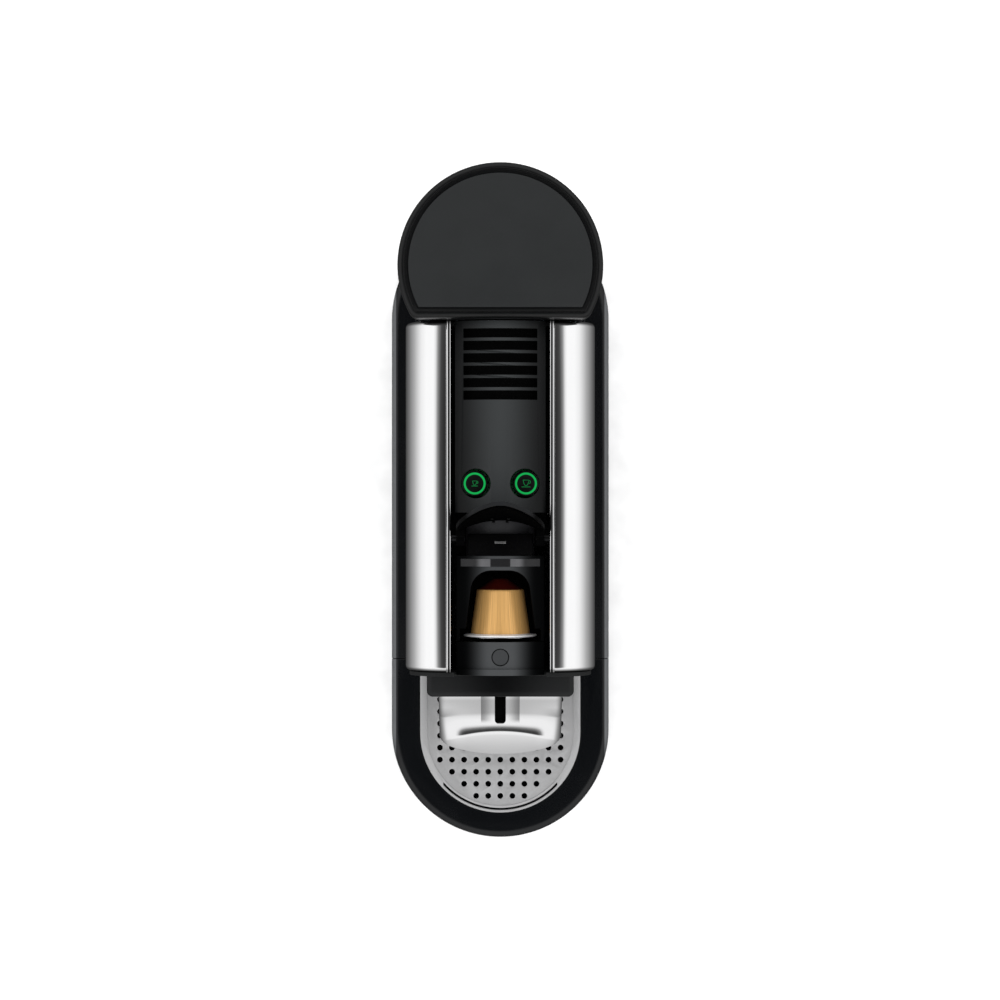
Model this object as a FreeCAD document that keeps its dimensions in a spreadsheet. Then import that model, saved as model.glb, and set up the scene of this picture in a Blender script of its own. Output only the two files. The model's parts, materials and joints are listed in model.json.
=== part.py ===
import FreeCAD, Part
import os
import re
import Sketcher

"""Pod coffee machine: base, head, water tank, drip unit, pod, lever and what makes it work.

Millimetres, +Z up. The origin is the middle of the footprint on the table, the coffee comes out
towards -Y and the water tank stands at +Y. Every sub-part reads its sizes from the "Sizes" sheet.
"""

DRIVING_SIZES = {
    # base
    "base_width": 128.0,
    "base_front_y": -182.2,
    "base_rear_y": 187.0,
    "base_top": 44.0,
    "base_wall": 2.5,
    "base_edge_radius": 4.6,
    "foot_height": 2.0,
    "seam_y": -76.5,
    "part_gap": 0.4,
    # head and column
    "head_half_width": 48.2,
    "head_front_y": -69.8,
    "head_rear_y": 106.7,
    "head_top": 265.0,
    "shoulder_radius": 21.0,
    "panel_wall": 1.5,
    "rail_outer_x": 26.9,
    "rail_width": 2.0,
    "rail_edge_radius": 0.6,
    # crowned strip along the middle of the head
    "crown_radius": 45.0,
    "crown_top": 268.5,
    "strip_half_width": 22.8,
    "cover_wall": 2.5,
    "cover_front_y": 10.4,
    "vent_half_length": 18.6,
    "vent_width": 4.7,
    "vent_pitch": 6.23,
    "vent_first_y": 100.5,
    "vent_count": 6.0,
    # buttons
    "button_x": 12.9,
    "button_y": 25.0,
    "button_radius": 6.5,
    "button_top": 264.2,
    "well_x": 12.3,
    "well_radius": 7.5,
    "ring_outer_radius": 5.5,
    "ring_inner_radius": 4.5,
    # pod and the chute that it drops into
    "pod_z": 241.0,
    "pod_rim_y": -52.4,
    "pod_rim_radius": 18.8,
    "pod_body_radius": 15.0,
    "pod_small_radius": 11.9,
    "pod_length": 23.6,
    "pod_tip_length": 5.4,
    "surround_radius": 40.0,
    "chute_rear_y": -11.5,
    "chute_front_y": -54.5,
    "arch_top_y": -18.7,
    "arch_top_half_width": 13.8,
    "arch_foot_half_width": 17.5,
    "arch_corner_radius": 10.5,
    "rim_slot_half_width": 20.5,
    "rim_slot_rear_y": -48.2,
    "guide_bottom": 222.0,
    # lever
    "pivot_y": -2.5,
    "pivot_z": 258.0,
    "lever_swing": 97.0,
    "lever_length": 66.0,
    "lever_half_width": 22.2,
    "lever_wall": 1.9,
    "lever_liner_wall": 0.9,
    "lever_arc_radius": 83.7,
    "lever_arc_start": 12.0,
    "lever_pin_radius": 2.0,
    # brew cage
    "cage_radius": 17.5,
    "cage_front_y": -16.0,
    "cage_length": 33.5,
    "cage_clearance": 1.2,
    "pushrod_radius": 5.0,
    "pushrod_end_y": 92.0,
    "running_clearance": 0.08,
    # outlet
    "carrier_half_width": 39.8,
    "carrier_front_y": -89.8,
    "carrier_bottom": 150.0,
    "carrier_top": 168.0,
    "hood_half_width": 34.0,
    "hood_front_y": -126.0,
    "hood_slope_y": -106.5,
    "hood_slope_z": 132.8,
    "hood_crease_y": -111.9,
    "hood_crease_z": 130.7,
    "hood_lip_top": 119.4,
    "hood_wall": 1.8,
    "hood_lip_bottom": 113.5,
    "hood_corner_radius": 9.0,
    "nozzle_bottom": 105.0,
    # tank and lid
    "tank_centre_y": 133.7,
    "tank_radius": 48.5,
    "tank_flat_y": 109.0,
    "tank_wall": 2.2,
    "tank_bottom": 50.0,
    "tank_top": 262.0,
    "lid_radius": 51.3,
    "lid_flat_y": 107.2,
    "lid_bottom": 262.4,
    "lid_top": 278.0,
    "lid_edge_radius": 2.6,
    "lid_plate_radius": 45.9,
    "lid_plate_flat_y": 112.6,
    "lid_groove_width": 2.2,
    "lid_recess_depth": 2.0,
    # drip unit
    "grid_centre_y": -120.1,
    "grid_half_width": 47.1,
    "grid_inner_half_width": 43.0,
    "grid_rear_y": -80.0,
    "grid_top": 44.8,
    "grid_wall": 1.2,
    "grid_hole_radius": 1.7,
    "grid_hole_pitch": 7.1,
    "grid_first_row_y": -157.5,
    "container_top": 97.0,
    "container_wall": 2.0,
    "container_half_width": 42.0,
    "container_rear_y": -7.0,
    "tray_foot_radius": 6.0,
    "slot_outer_radius": 45.7,
    "slot_inner_radius": 44.4,
    # plate, feet, screws and cord inlet of the base
    "plate_thickness": 2.5,
    "foot_radius": 7.0,
    "screw_head_radius": 3.2,
    "screw_head_height": 2.5,
    "screw_shank_radius": 1.6,
    "screw_length": 33.6,
    "dock_hole_radius": 9.0,
    "hose_hole_radius": 14.0,
    "cord_z": 16.0,
    "cord_hole_radius": 6.2,
    "cord_sleeve_radius": 6.1,
    "cord_flange_radius": 7.5,
    "cord_flange_width": 2.0,
    "cord_bore_radius": 3.6,
    "cord_sleeve_length": 9.0,
    # frame of the column
    "frame_gap": 1.7,
    "frame_wall": 2.0,
    "frame_top": 240.0,
    "bulkhead_y": -6.0,
    "middle_deck_z": 112.0,
    "upper_deck_z": 203.0,
    "end_plate_gap": 0.4,
    "front_panel_bottom": 100.0,
    # cage bearing, outlet plate, duct and spout
    "bearing_half_width": 14.0,
    "bearing_front_y": 50.0,
    "bearing_thickness": 4.0,
    "bearing_top": 248.5,
    "outlet_plate_y": -58.5,
    "outlet_plate_thickness": 2.5,
    "outlet_plate_radius": 14.5,
    "outlet_hole_radius": 0.8,
    "outlet_hole_pitch": 4.4,
    "duct_half_width": 10.5,
    "duct_wall": 2.0,
    "duct_front_y": -68.5,
    "duct_rear_y": -59.0,
    "duct_bottom": 150.5,
    "duct_top": 249.0,
    "duct_spout_y": -74.0,
    "duct_spout_top": 163.0,
    "nozzle_half_width": 9.0,
    "nozzle_front_y": -86.5,
    "nozzle_rear_y": -75.5,
    "nozzle_leg_x": 5.0,
    "nozzle_leg_radius": 4.0,
    "nozzle_bore_radius": 2.5,
    "nozzle_leg_y": -99.0,
    "arm_half_width": 7.0,
    "arm_tip_y": -108.0,
    "arm_bottom": 118.0,
    "arm_top": 127.6,
    "slot_half_width": 3.05,
    "slot_end_y": -107.3,
    # hinge and plug
    "barrel_radius": 4.0,
    "barrel_inner_x": 18.2,
    "pin_inner_x": 18.0,
    "pin_outer_x": 24.8,
    "bridge_half_width": 16.5,
    "bridge_wall": 2.4,
    "plug_y": -62.5,
    "plug_radius": 4.0,
    # board, pump and heater
    "board_half_width": 21.0,
    "board_z": 250.0,
    "board_thickness": 1.6,
    "switch_half_size": 3.0,
    "switch_height": 4.0,
    "pump_half_width": 19.0,
    "pump_bottom": 60.0,
    "pump_top": 98.0,
    "pump_front_y": 22.0,
    "pump_rear_y": 58.0,
    "pump_yoke": 3.0,
    "pump_axis_z": 79.0,
    "pump_barrel_radius": 8.0,
    "coil_radius": 15.5,
    "heater_half_width": 22.0,
    "heater_bottom": 116.2,
    "heater_top": 156.0,
    "heater_fin_pitch": 9.0,
    "heater_fin_gap": 3.0,
    "meter_radius": 9.0,
}

# holes in each row of the grid, from the front row backwards
GRID_ROW_COUNTS = (5, 7, 9, 11, 11, 11, 11, 11, 11, 11, 11)

doc = FreeCAD.newDocument("pod_coffee_machine")
sheet = doc.addObject("Spreadsheet::Sheet", "Sizes")
for row, (alias, value) in enumerate(DRIVING_SIZES.items(), start=1):
    sheet.set(f"A{row}", alias)
    sheet.set(f"B{row}", str(value))
    sheet.setAlias(f"B{row}", alias)
doc.recompute()

FINISHED = []


# ---------------------------------------------------------------------------------------------
# helpers: formulas, primitives, booleans, profiles
# ---------------------------------------------------------------------------------------------

def formula(text):
    """Turn a formula in plain size names into an expression that reads the sheet."""
    return re.sub(r"[a-z_]{3,}", lambda word: f"Sizes.{word[0]}" if word[0] in DRIVING_SIZES else word[0],
                  str(text))


def bind(thing, prop, text):
    """Bind one property to a formula of the sheet."""
    thing.setExpression(prop, formula(text))


def size(text):
    """The present value of a formula, for places and edge choices."""
    return float(sheet.evalExpression(formula(text)))


def place(thing, x, y, z):
    """Bind a placement's position to three formulas."""
    for axis, text in zip("xyz", (x, y, z)):
        bind(thing, f"Placement.Base.{axis}", text)


def block(name, x, y, z):
    """A box between two formulas on each axis."""
    box = doc.addObject("Part::Box", name)
    for prop, (low, high) in zip(("Length", "Width", "Height"), (x, y, z)):
        bind(box, prop, f"({high}) - ({low})")
    place(box, x[0], y[0], z[0])
    return box


TURN_TO_AXIS = {
    "x": FreeCAD.Rotation(FreeCAD.Vector(0, 1, 0), 90),
    "y": FreeCAD.Rotation(FreeCAD.Vector(1, 0, 0), -90),
    "z": FreeCAD.Rotation(),
}


def rod(name, axis, across, span, radius):
    """A cylinder along an axis: 'across' is its place on the other two axes, in x, y, z order."""
    cylinder = doc.addObject("Part::Cylinder", name)
    bind(cylinder, "Radius", radius)
    bind(cylinder, "Height", f"({span[1]}) - ({span[0]})")
    cylinder.Placement = FreeCAD.Placement(FreeCAD.Vector(), TURN_TO_AXIS[axis])
    spot = list(across)
    spot.insert("xyz".index(axis), span[0])
    place(cylinder, *spot)
    return cylinder


def cone(name, axis, across, span, radii):
    """A cone along an axis with one radius at each end of its span."""
    frustum = doc.addObject("Part::Cone", name)
    bind(frustum, "Radius1", radii[0])
    bind(frustum, "Radius2", radii[1])
    bind(frustum, "Height", f"({span[1]}) - ({span[0]})")
    frustum.Placement = FreeCAD.Placement(FreeCAD.Vector(), TURN_TO_AXIS[axis])
    spot = list(across)
    spot.insert("xyz".index(axis), span[0])
    place(frustum, *spot)
    return frustum


def fuse(name, pieces):
    """Join pieces into one solid."""
    joined = doc.addObject("Part::MultiFuse", name)
    joined.Shapes = pieces
    joined.Refine = True
    return joined


def common(name, pieces):
    """What all pieces share."""
    shared = doc.addObject("Part::MultiCommon", name)
    shared.Shapes = pieces
    return shared


def cut(name, base, tools):
    """Base without the tools."""
    tool = tools[0] if len(tools) == 1 else fuse(f"{name}_tools", tools)
    left = doc.addObject("Part::Cut", name)
    left.Base = base
    left.Tool = tool
    return left


def round_edges(name, base, radius, wanted):
    """Fillet the edges for which wanted(edge) is true."""
    doc.recompute()
    value = size(radius)
    rounded = doc.addObject("Part::Fillet", name)
    rounded.Base = base
    rounded.Edges = [(number, value, value) for number, edge in enumerate(base.Shape.Edges, start=1)
                     if wanted(edge)]
    return rounded


def at_height(z, tolerance=0.01):
    """Edge test: the whole edge lies at one height."""
    return lambda edge: abs(edge.BoundBox.ZMin - z) < tolerance and abs(edge.BoundBox.ZMax - z) < tolerance


def upright_at(y, min_x=0.0, tolerance=0.01):
    """Edge test: a vertical edge at one Y, at least min_x from the middle."""
    def test(edge):
        box = edge.BoundBox
        flat = abs(box.YMin - y) < tolerance and abs(box.YMax - y) < tolerance
        return flat and box.XLength < tolerance and box.ZLength > tolerance and abs(box.XMin) >= min_x
    return test


def finish(piece, label):
    """Give a sub-part its file name and note that it is finished."""
    piece.Label = label
    FINISHED.append(piece)
    return piece


def profile_body(name, role, corners, start, length):
    """A PartDesign body: a straight-sided outline on an origin plane, padded from 'start'."""
    body = doc.addObject("PartDesign::Body", name)
    outline = body.newObject("Sketcher::SketchObject", f"{name}_outline")
    plane = next(item for item in body.Origin.OriginFeatures if item.Role == role)
    outline.AttachmentSupport = [(plane, "")]
    outline.MapMode = "FlatFace"
    bind(outline, "AttachmentOffset.Base.z", start)
    points = [FreeCAD.Vector(size(across), size(up), 0) for across, up in corners]
    for index, (first, second) in enumerate(zip(points, points[1:] + points[:1])):
        outline.addGeometry(Part.LineSegment(first, second))
        for kind, text in zip(("DistanceX", "DistanceY"), corners[index]):
            tag = outline.addConstraint(Sketcher.Constraint(kind, -1, 1, index, 1, size(text)))
            outline.renameConstraint(tag, f"corner{index}_{kind[-1].lower()}")
            bind(outline, f"Constraints.corner{index}_{kind[-1].lower()}", text)
    last = len(points) - 1
    for index in range(len(points)):
        following = 0 if index == last else index + 1
        outline.addConstraint(Sketcher.Constraint("Coincident", index, 2, following, 1))
    pad = body.newObject("PartDesign::Pad", f"{name}_pad")
    pad.Profile = outline
    bind(pad, "Length", length)
    body.Tip = pad
    return body


def add_fillet(body, radius, wanted):
    """Round a body's edges with a PartDesign fillet bound to the sheet."""
    doc.recompute()
    tip = body.Tip
    fillet = body.newObject("PartDesign::Fillet", f"{body.Name}_fillet")
    fillet.Base = (tip, [f"Edge{number}" for number, edge in enumerate(tip.Shape.Edges, start=1) if wanted(edge)])
    bind(fillet, "Radius", radius)
    body.Tip = fillet


def hose(name, label, points, outer, inner):
    """A hose along straight runs with rounded bends, with an open bore."""
    def swept(radius):
        path = Part.makePolygon([FreeCAD.Vector(*[size(text) for text in point]) for point in points])
        first, second = path.Vertexes[0].Point, path.Vertexes[1].Point
        ring = Part.Wire(Part.makeCircle(radius, first, second - first))
        return path.makePipeShell([ring], True, False, 2)
    tube = doc.addObject("Part::Feature", name)
    tube.Shape = swept(outer).cut(swept(inner))
    return finish(tube, label)


def stadium(name, half_width, rear_y, z, centre_y="base_front_y + base_width/2"):
    """The plan shape of the front of the base: straight sides and a half-round front."""
    straight = block(f"{name}_straight", (f"-({half_width})", half_width), (centre_y, rear_y), z)
    drum = rod(f"{name}_drum", "z", ("0", centre_y), z, half_width)
    front = block(f"{name}_front", (f"-({half_width})", half_width), (f"{centre_y} - ({half_width})", centre_y), z)
    return fuse(name, [straight, common(f"{name}_nose", [drum, front])])


def rounded_rear(name, inset, front_y, z):
    """The plan shape of the rear of the base: straight sides and a half-round rear."""
    half = f"(base_width/2 - ({inset}))"
    centre_y = "(base_rear_y - base_width/2)"
    straight = block(f"{name}_straight", (f"-{half}", half), (front_y, centre_y), z)
    drum = rod(f"{name}_drum", "z", ("0", centre_y), z, half)
    return fuse(name, [straight, drum])


def tank_shape(name, radius, flat_y, z):
    """A round shape with a flat side towards the column, in plan."""
    drum = rod(f"{name}_drum", "z", ("0", "tank_centre_y"), z, radius)
    half = block(f"{name}_half", (f"-({radius})", radius), (flat_y, f"tank_centre_y + {radius}"), z)
    return common(name, [drum, half])


def crown(name, radius, half_width, y, floor_z):
    """A strip with a crowned top: part of a drum that lies along Y, above floor_z."""
    drum = rod(f"{name}_drum", "y", ("0", "crown_top - crown_radius"), y, radius)
    strip = block(f"{name}_strip", (f"-({half_width})", half_width), y, (floor_z, "crown_top + 1"))
    return common(name, [drum, strip])


def crown_shell(name, radius, wall, half_width, y):
    """A crowned strip of even wall thickness."""
    floor_z = "crown_top - crown_radius"
    outer = crown(f"{name}_outer", radius, half_width, y, floor_z)
    inner = rod(f"{name}_inner", "y", ("0", floor_z), (f"({y[0]}) - 1", f"({y[1]}) + 1"), f"({radius}) - ({wall})")
    return cut(name, outer, [inner])


# ---------------------------------------------------------------------------------------------
# base
# ---------------------------------------------------------------------------------------------

def base_housing():
    """Rear shell of the base: open below, with the tank dock's hole and the cord's hole."""
    solid = rounded_rear("housing_solid", "0", "seam_y", ("foot_height", "base_top"))

    def outer_top(edge):
        box = edge.BoundBox
        return at_height(size("base_top"))(edge) and box.YMax > size("seam_y") + 0.1

    rounded = round_edges("housing_rounded", solid, "base_edge_radius", outer_top)
    hollow = rounded_rear("housing_hollow", "base_wall", "seam_y + base_wall",
                          ("foot_height - 1", "base_top - base_wall"))
    through = ("foot_height", "base_top + 1")
    dock_hole = rod("housing_dock_hole", "z", ("0", "tank_centre_y"), through, "dock_hole_radius")
    hose_hole = rod("housing_hose_hole", "z", ("0", "75"), through, "hose_hole_radius")
    cord_hole = rod("housing_cord_hole", "y", ("0", "cord_z"), ("base_rear_y - 15", "base_rear_y + 5"),
                    "cord_hole_radius")
    finish(cut("housing", rounded, [hollow, dock_hole, hose_hole, cord_hole]), "base_housing")


def base_plate():
    """Bottom plate that closes the housing and carries the feet."""
    inset = "base_wall + part_gap"
    plate = rounded_rear("bottom_plate", inset, f"seam_y + {inset}", ("foot_height", "foot_height + plate_thickness"))
    finish(plate, "base_plate")


def base_feet():
    """Four rubber feet under the bottom plate."""
    feet = [rod(f"foot_{index}", "z", (x, y), ("0", "foot_height"), "foot_radius")
            for index, (x, y) in enumerate((("-50", "-62"), ("50", "-62"), ("-38", "160"), ("38", "160")))]
    finish(fuse("feet", feet), "base_feet")


def cord_inlet():
    """Grommet in the rear wall where the mains cord goes in."""
    spot, front = ("0", "cord_z"), "base_rear_y - cord_sleeve_length"
    sleeve = rod("inlet_sleeve", "y", spot, (front, "base_rear_y - 0.2"), "cord_sleeve_radius")
    flange = rod("inlet_flange", "y", spot, (front, f"{front} + cord_flange_width"), "cord_flange_radius")
    bore = rod("inlet_bore", "y", spot, (f"{front} - 1", "base_rear_y + 1"), "cord_bore_radius")
    finish(cut("inlet", fuse("inlet_solid", [sleeve, flange]), [bore]), "cord_inlet")


def base_screws():
    """Screws that hold the bottom plate to the column's floor."""
    spots = (("-34", "-40"), ("34", "-40"), ("-34", "90"), ("34", "90"))
    bottom = "foot_height + plate_thickness + part_gap"
    seat = f"{bottom} + screw_head_height"
    screws = []
    for index, (x, y) in enumerate(spots):
        head = rod(f"screw_head_{index}", "z", (x, y), (bottom, seat), "screw_head_radius")
        shank = rod(f"screw_shank_{index}", "z", (x, y), (seat, f"{seat} + screw_length"), "screw_shank_radius")
        screws.append(fuse(f"screw_{index}", [head, shank]))
    finish(fuse("screws", screws), "base_screws")


# ---------------------------------------------------------------------------------------------
# column and head
# ---------------------------------------------------------------------------------------------

def column_frame():
    """Frame of the column: floor, side walls, rear wall, bulkhead and two decks."""
    outer = "head_half_width - panel_wall - frame_gap"
    inner = f"{outer} - frame_wall"
    front, rear = "head_front_y + 2", "head_rear_y - 2.3"
    floor, top = "base_top + 0.2", "frame_top"
    decked = ("bulkhead_y", rear)
    walls = [block("frame_floor", (f"-({outer})", outer), (front, rear), (floor, f"{floor} + frame_wall")),
             block("frame_left", (f"-({outer})", f"-({inner})"), (front, rear), (floor, top)),
             block("frame_right", (inner, outer), (front, rear), (floor, top)),
             block("frame_rear", (f"-({outer})", outer), (f"{rear} - frame_wall", rear), (floor, top)),
             block("frame_bulkhead", (f"-({outer})", outer), ("bulkhead_y", "bulkhead_y + frame_wall"),
                   (floor, "upper_deck_z + frame_wall")),
             block("frame_middle_deck", (f"-({outer})", outer), decked,
                   ("middle_deck_z", "middle_deck_z + frame_wall")),
             block("frame_upper_deck", (f"-({outer})", outer), decked,
                   ("upper_deck_z", "upper_deck_z + frame_wall"))]
    holes = [rod("frame_pump_hole", "z", ("0", "75"), (f"{floor} - 1", f"{floor} + 3"), "hose_hole_radius - 2"),
             rod("frame_hose_hole", "z", ("-30", "40"), ("middle_deck_z - 2", "middle_deck_z + 4"), "6"),
             rod("frame_brew_hole", "z", ("30", "8"), ("upper_deck_z - 3", "upper_deck_z + 5"), "6")]
    finish(cut("frame", fuse("frame_walls", walls), holes), "column_frame")


def side_panel(side, label):
    """Chrome side panel: an upright wall that turns over the shoulder to the head's top."""
    sign = "-" if side == "left" else ""
    outer, shoulder = "head_half_width", "head_half_width - shoulder_radius"
    wall = "panel_wall"
    y = ("head_front_y", "head_rear_y")
    bottom = "base_top + 0.3"

    def across(low, high):
        return (f"-({high})", f"-({low})") if sign else (low, high)

    upright = block(f"{side}_upright", across(shoulder, outer), y, (bottom, "head_top - shoulder_radius"))
    drum = rod(f"{side}_drum", "y", (f"{sign}({shoulder})", "head_top - shoulder_radius"), y, "shoulder_radius")
    quarter = block(f"{side}_quarter", across(shoulder, outer), y, ("head_top - shoulder_radius", "head_top"))
    solid = fuse(f"{side}_solid", [upright, common(f"{side}_shoulder", [drum, quarter])])
    past = (f"{y[0]} - 1", f"{y[1]} + 1")
    hollow = block(f"{side}_hollow", across(f"{shoulder} - 1", f"{outer} - {wall}"), past,
                   (f"{bottom} - 1", "head_top - shoulder_radius"))
    inner_drum = rod(f"{side}_inner_drum", "y", (f"{sign}({shoulder})", "head_top - shoulder_radius"), past,
                     f"shoulder_radius - {wall}")
    finish(cut(f"{side}_panel", solid, [hollow, inner_drum]), label)


def trim_rail(side, label):
    """Slim chrome rail between a side panel and the middle strip."""
    high, low = "rail_outer_x", "rail_outer_x - rail_width"
    x = (f"-({high})", f"-({low})") if side == "left" else (low, high)
    bar = block(f"{side}_rail_bar", x, ("head_front_y", "head_rear_y"), ("256", "head_top + 0.2"))

    def long_top(edge):
        return at_height(size("head_top + 0.2"))(edge) and edge.BoundBox.YLength > 1

    rail = round_edges(f"{side}_rail", bar, "rail_edge_radius", long_top)
    finish(rail, label)


def end_plate(name, y, bottom, top):
    """Upright plate with the head's rounded shoulders, that closes one end of the head."""
    half = "head_half_width - panel_wall - end_plate_gap"
    plate = block(f"{name}_slab", (f"-({half})", half), y, (bottom, top))

    def shoulder(edge):
        return at_height(size(top))(edge) and edge.BoundBox.YLength > 0.5 and edge.BoundBox.XLength < 0.01

    return round_edges(name, plate, "shoulder_radius - panel_wall - end_plate_gap", shoulder)


def rear_panel():
    """Black plate behind the column, towards the tank."""
    plate = end_plate("rear_plate", ("head_rear_y - 1.9", "head_rear_y"), "base_top + 0.3",
                      "head_top - panel_wall - 0.5")
    notch = block("rear_plate_notch", ("-rail_outer_x - 0.2", "rail_outer_x + 0.2"),
                  ("head_rear_y - 5", "head_rear_y + 1"), ("255.6", "270"))
    finish(cut("rear_closing", plate, [notch]), "rear_panel")


def front_panel():
    """Black front of the head, above the mouth of the used-pod bay."""
    plate = end_plate("front_plate", ("head_front_y - 2.4", "head_front_y - 0.2"), "front_panel_bottom",
                      "head_top - panel_wall - 0.2")
    notch = block("front_plate_notch", ("-strip_half_width - 0.3", "strip_half_width + 0.3"),
                  ("head_front_y - 5", "head_front_y + 1"), ("256.2", "270"))
    duct_hole = block("front_plate_duct_hole", ("-11", "11"), ("head_front_y - 5", "head_front_y + 1"),
                      ("150", "164"))
    finish(cut("front_closing", plate, [notch, duct_hole]), "front_panel")


def top_cover():
    """Crowned cover of the head with its vents and the two button wells."""
    y = ("cover_front_y", "head_rear_y")
    shell = crown_shell("cover_shell", "crown_radius", "cover_wall", "strip_half_width", y)
    end = crown("cover_end", "crown_radius", "strip_half_width", ("head_rear_y - 1.9", "head_rear_y"), "256")
    wells = [rod(f"well_wall_{side}", "z", (f"{sign}well_x", "button_y"), ("258.5", "263.5"), "well_radius + 1")
             for side, sign in (("left", "-"), ("right", ""))]
    strip = block("cover_trim_box", ("-strip_half_width", "strip_half_width"), y, ("256", "270"))
    solid = common("cover_solid", [fuse("cover_joined", [shell, end] + wells), strip])
    holes = [rod(f"well_hole_{side}", "z", (f"{sign}well_x", "button_y"), ("250", "275"), "well_radius")
             for side, sign in (("left", "-"), ("right", ""))]
    for index in range(int(DRIVING_SIZES["vent_count"])):
        middle = f"vent_first_y - {index} * vent_pitch"
        holes.append(block(f"vent_{index}", ("-vent_half_length", "vent_half_length"),
                           (f"{middle} - vent_width/2", f"{middle} + vent_width/2"), ("255", "275")))
    finish(cut("cover", solid, holes), "top_cover")


def vent_liner():
    """Dark tray under the vents that keeps drips off the works."""
    tray = crown_shell("vent_tray", "crown_radius - cover_wall - 3", "1.5", "strip_half_width - 1.5",
                       ("64", "head_rear_y - 2.5"))
    finish(tray, "vent_liner")


# ---------------------------------------------------------------------------------------------
# brewing: chute, front cover, cage, outlet
# ---------------------------------------------------------------------------------------------

def pod_chute():
    """Surround of the pod slot with side walls and two ledges that hold the pod's rim."""
    y = ("chute_front_y", "chute_rear_y")
    half = "strip_half_width - 0.6"
    top = crown_shell("chute_top", "surround_radius", "3", half, y)
    walls = [block(f"chute_wall_{side}", x, y, ("guide_bottom", "256"))
             for side, x in (("left", (f"-({half})", "-20.9")), ("right", ("20.9", half)))]
    ledge_y = ("pod_rim_y - 1.2", "pod_rim_y + 2.2")
    ledges = [block(f"chute_ledge_{side}", x, ledge_y, ("228", "231"))
              for side, x in (("left", ("-21", "-16.3")), ("right", ("16.3", "21")))]
    solid = fuse("chute_solid", [top] + walls + ledges)
    z = ("245", "270")
    arch = profile_body("chute_arch", "XY_Plane",
                        (("-arch_foot_half_width", "rim_slot_rear_y - 0.5"),
                         ("arch_foot_half_width", "rim_slot_rear_y - 0.5"),
                         ("arch_top_half_width", "arch_top_y"), ("-arch_top_half_width", "arch_top_y")), z[0], "25")
    add_fillet(arch, "arch_corner_radius", upright_at(size("arch_top_y")))
    slot = block("chute_rim_slot", ("-rim_slot_half_width", "rim_slot_half_width"),
                 ("chute_front_y - 0.1", "rim_slot_rear_y"), z)
    groove = crown_shell("chute_strip_groove", "surround_radius + 1", "1.4", "20.05", ("-16.85", "-12.95"))
    finish(cut("chute", solid, [arch, slot, groove]), "pod_chute")


def chute_strip():
    """Ribbed metal strip let into the surround behind the slot."""
    strip = crown_shell("strip_shell", "surround_radius + 0.2", "0.55", "20", ("-16.8", "-13.0"))
    finish(strip, "chute_strip")


def front_cover():
    """Crowned cover in front of the slot, with its lip and front wall."""
    y = ("head_front_y + 1.3", "chute_front_y - 0.4")
    half = "strip_half_width - 0.6"
    shell = crown_shell("front_shell", "surround_radius", "3", half, y)
    lip = crown("front_lip", "surround_radius + 2", half, ("head_front_y - 1.8", "head_front_y + 1.3"), "256.4")
    plug_hole = rod("front_plug_hole", "z", ("0", "plug_y"), ("head_top - 15", "head_top + 5"), "plug_radius + 0.45")
    finish(cut("front_top", fuse("front_solid", [shell, lip]), [plug_hole]), "front_cover")


def front_plug():
    """Small round plug in the front cover."""
    finish(rod("plug", "z", ("0", "plug_y"), ("258", "263.4"), "plug_radius"), "front_plug")


def pod():
    """Aluminium pod with its rim and foil, lying in the chute with its tip to the rear."""
    spot = ("0", "pod_z")
    rim = rod("pod_rim", "y", spot, ("pod_rim_y - 0.5", "pod_rim_y + 0.6"), "pod_rim_radius")
    body_end = "pod_rim_y + pod_length"
    wall = cone("pod_wall", "y", spot, ("pod_rim_y", body_end), ("pod_body_radius", "pod_small_radius"))
    tip = cone("pod_tip", "y", spot, (body_end, f"{body_end} + pod_tip_length"), ("pod_small_radius", "4"))
    finish(fuse("pod_solid", [rim, wall, tip]), "pod_shell")
    finish(rod("foil", "y", spot, ("pod_rim_y - 0.8", "pod_rim_y - 0.5"), "pod_rim_radius - 1.5"), "pod_foil")


def brew_cage():
    """Sliding cage that closes over the pod."""
    spot = ("0", "pod_z")
    rear = "cage_front_y + cage_length"
    cup = rod("cage_cup", "y", spot, ("cage_front_y", rear), "cage_radius")
    depth = "cage_front_y + pod_length + cage_clearance"
    wide, narrow = "pod_body_radius + cage_clearance", "pod_small_radius + cage_clearance"
    hollow = cone("cage_hollow", "y", spot, ("cage_front_y", depth), (wide, narrow))
    tip_end = f"{depth} + pod_tip_length"
    tip = cone("cage_tip_hollow", "y", spot, (depth, tip_end), (narrow, "4 + cage_clearance"))
    finish(cut("cage", cup, [hollow, tip]), "brew_cage")


def cage_pushrod():
    """Rod that pushes the cage, guided in its bearing."""
    span = ("cage_front_y + cage_length", "pushrod_end_y")
    finish(rod("pushrod", "y", ("0", "pod_z"), span, "pushrod_radius"), "cage_pushrod")


def cage_bearing():
    """Plate on the upper deck that carries the pushrod."""
    y = ("bearing_front_y", "bearing_front_y + bearing_thickness")
    plate = block("bearing_plate", ("-bearing_half_width", "bearing_half_width"), y,
                  ("upper_deck_z + frame_wall + 0.2", "bearing_top"))
    bore = rod("bearing_bore", "y", ("0", "pod_z"), (f"{y[0]} - 1", f"{y[1]} + 1"),
               "pushrod_radius + running_clearance")
    finish(cut("bearing", plate, [bore]), "cage_bearing")


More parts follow.
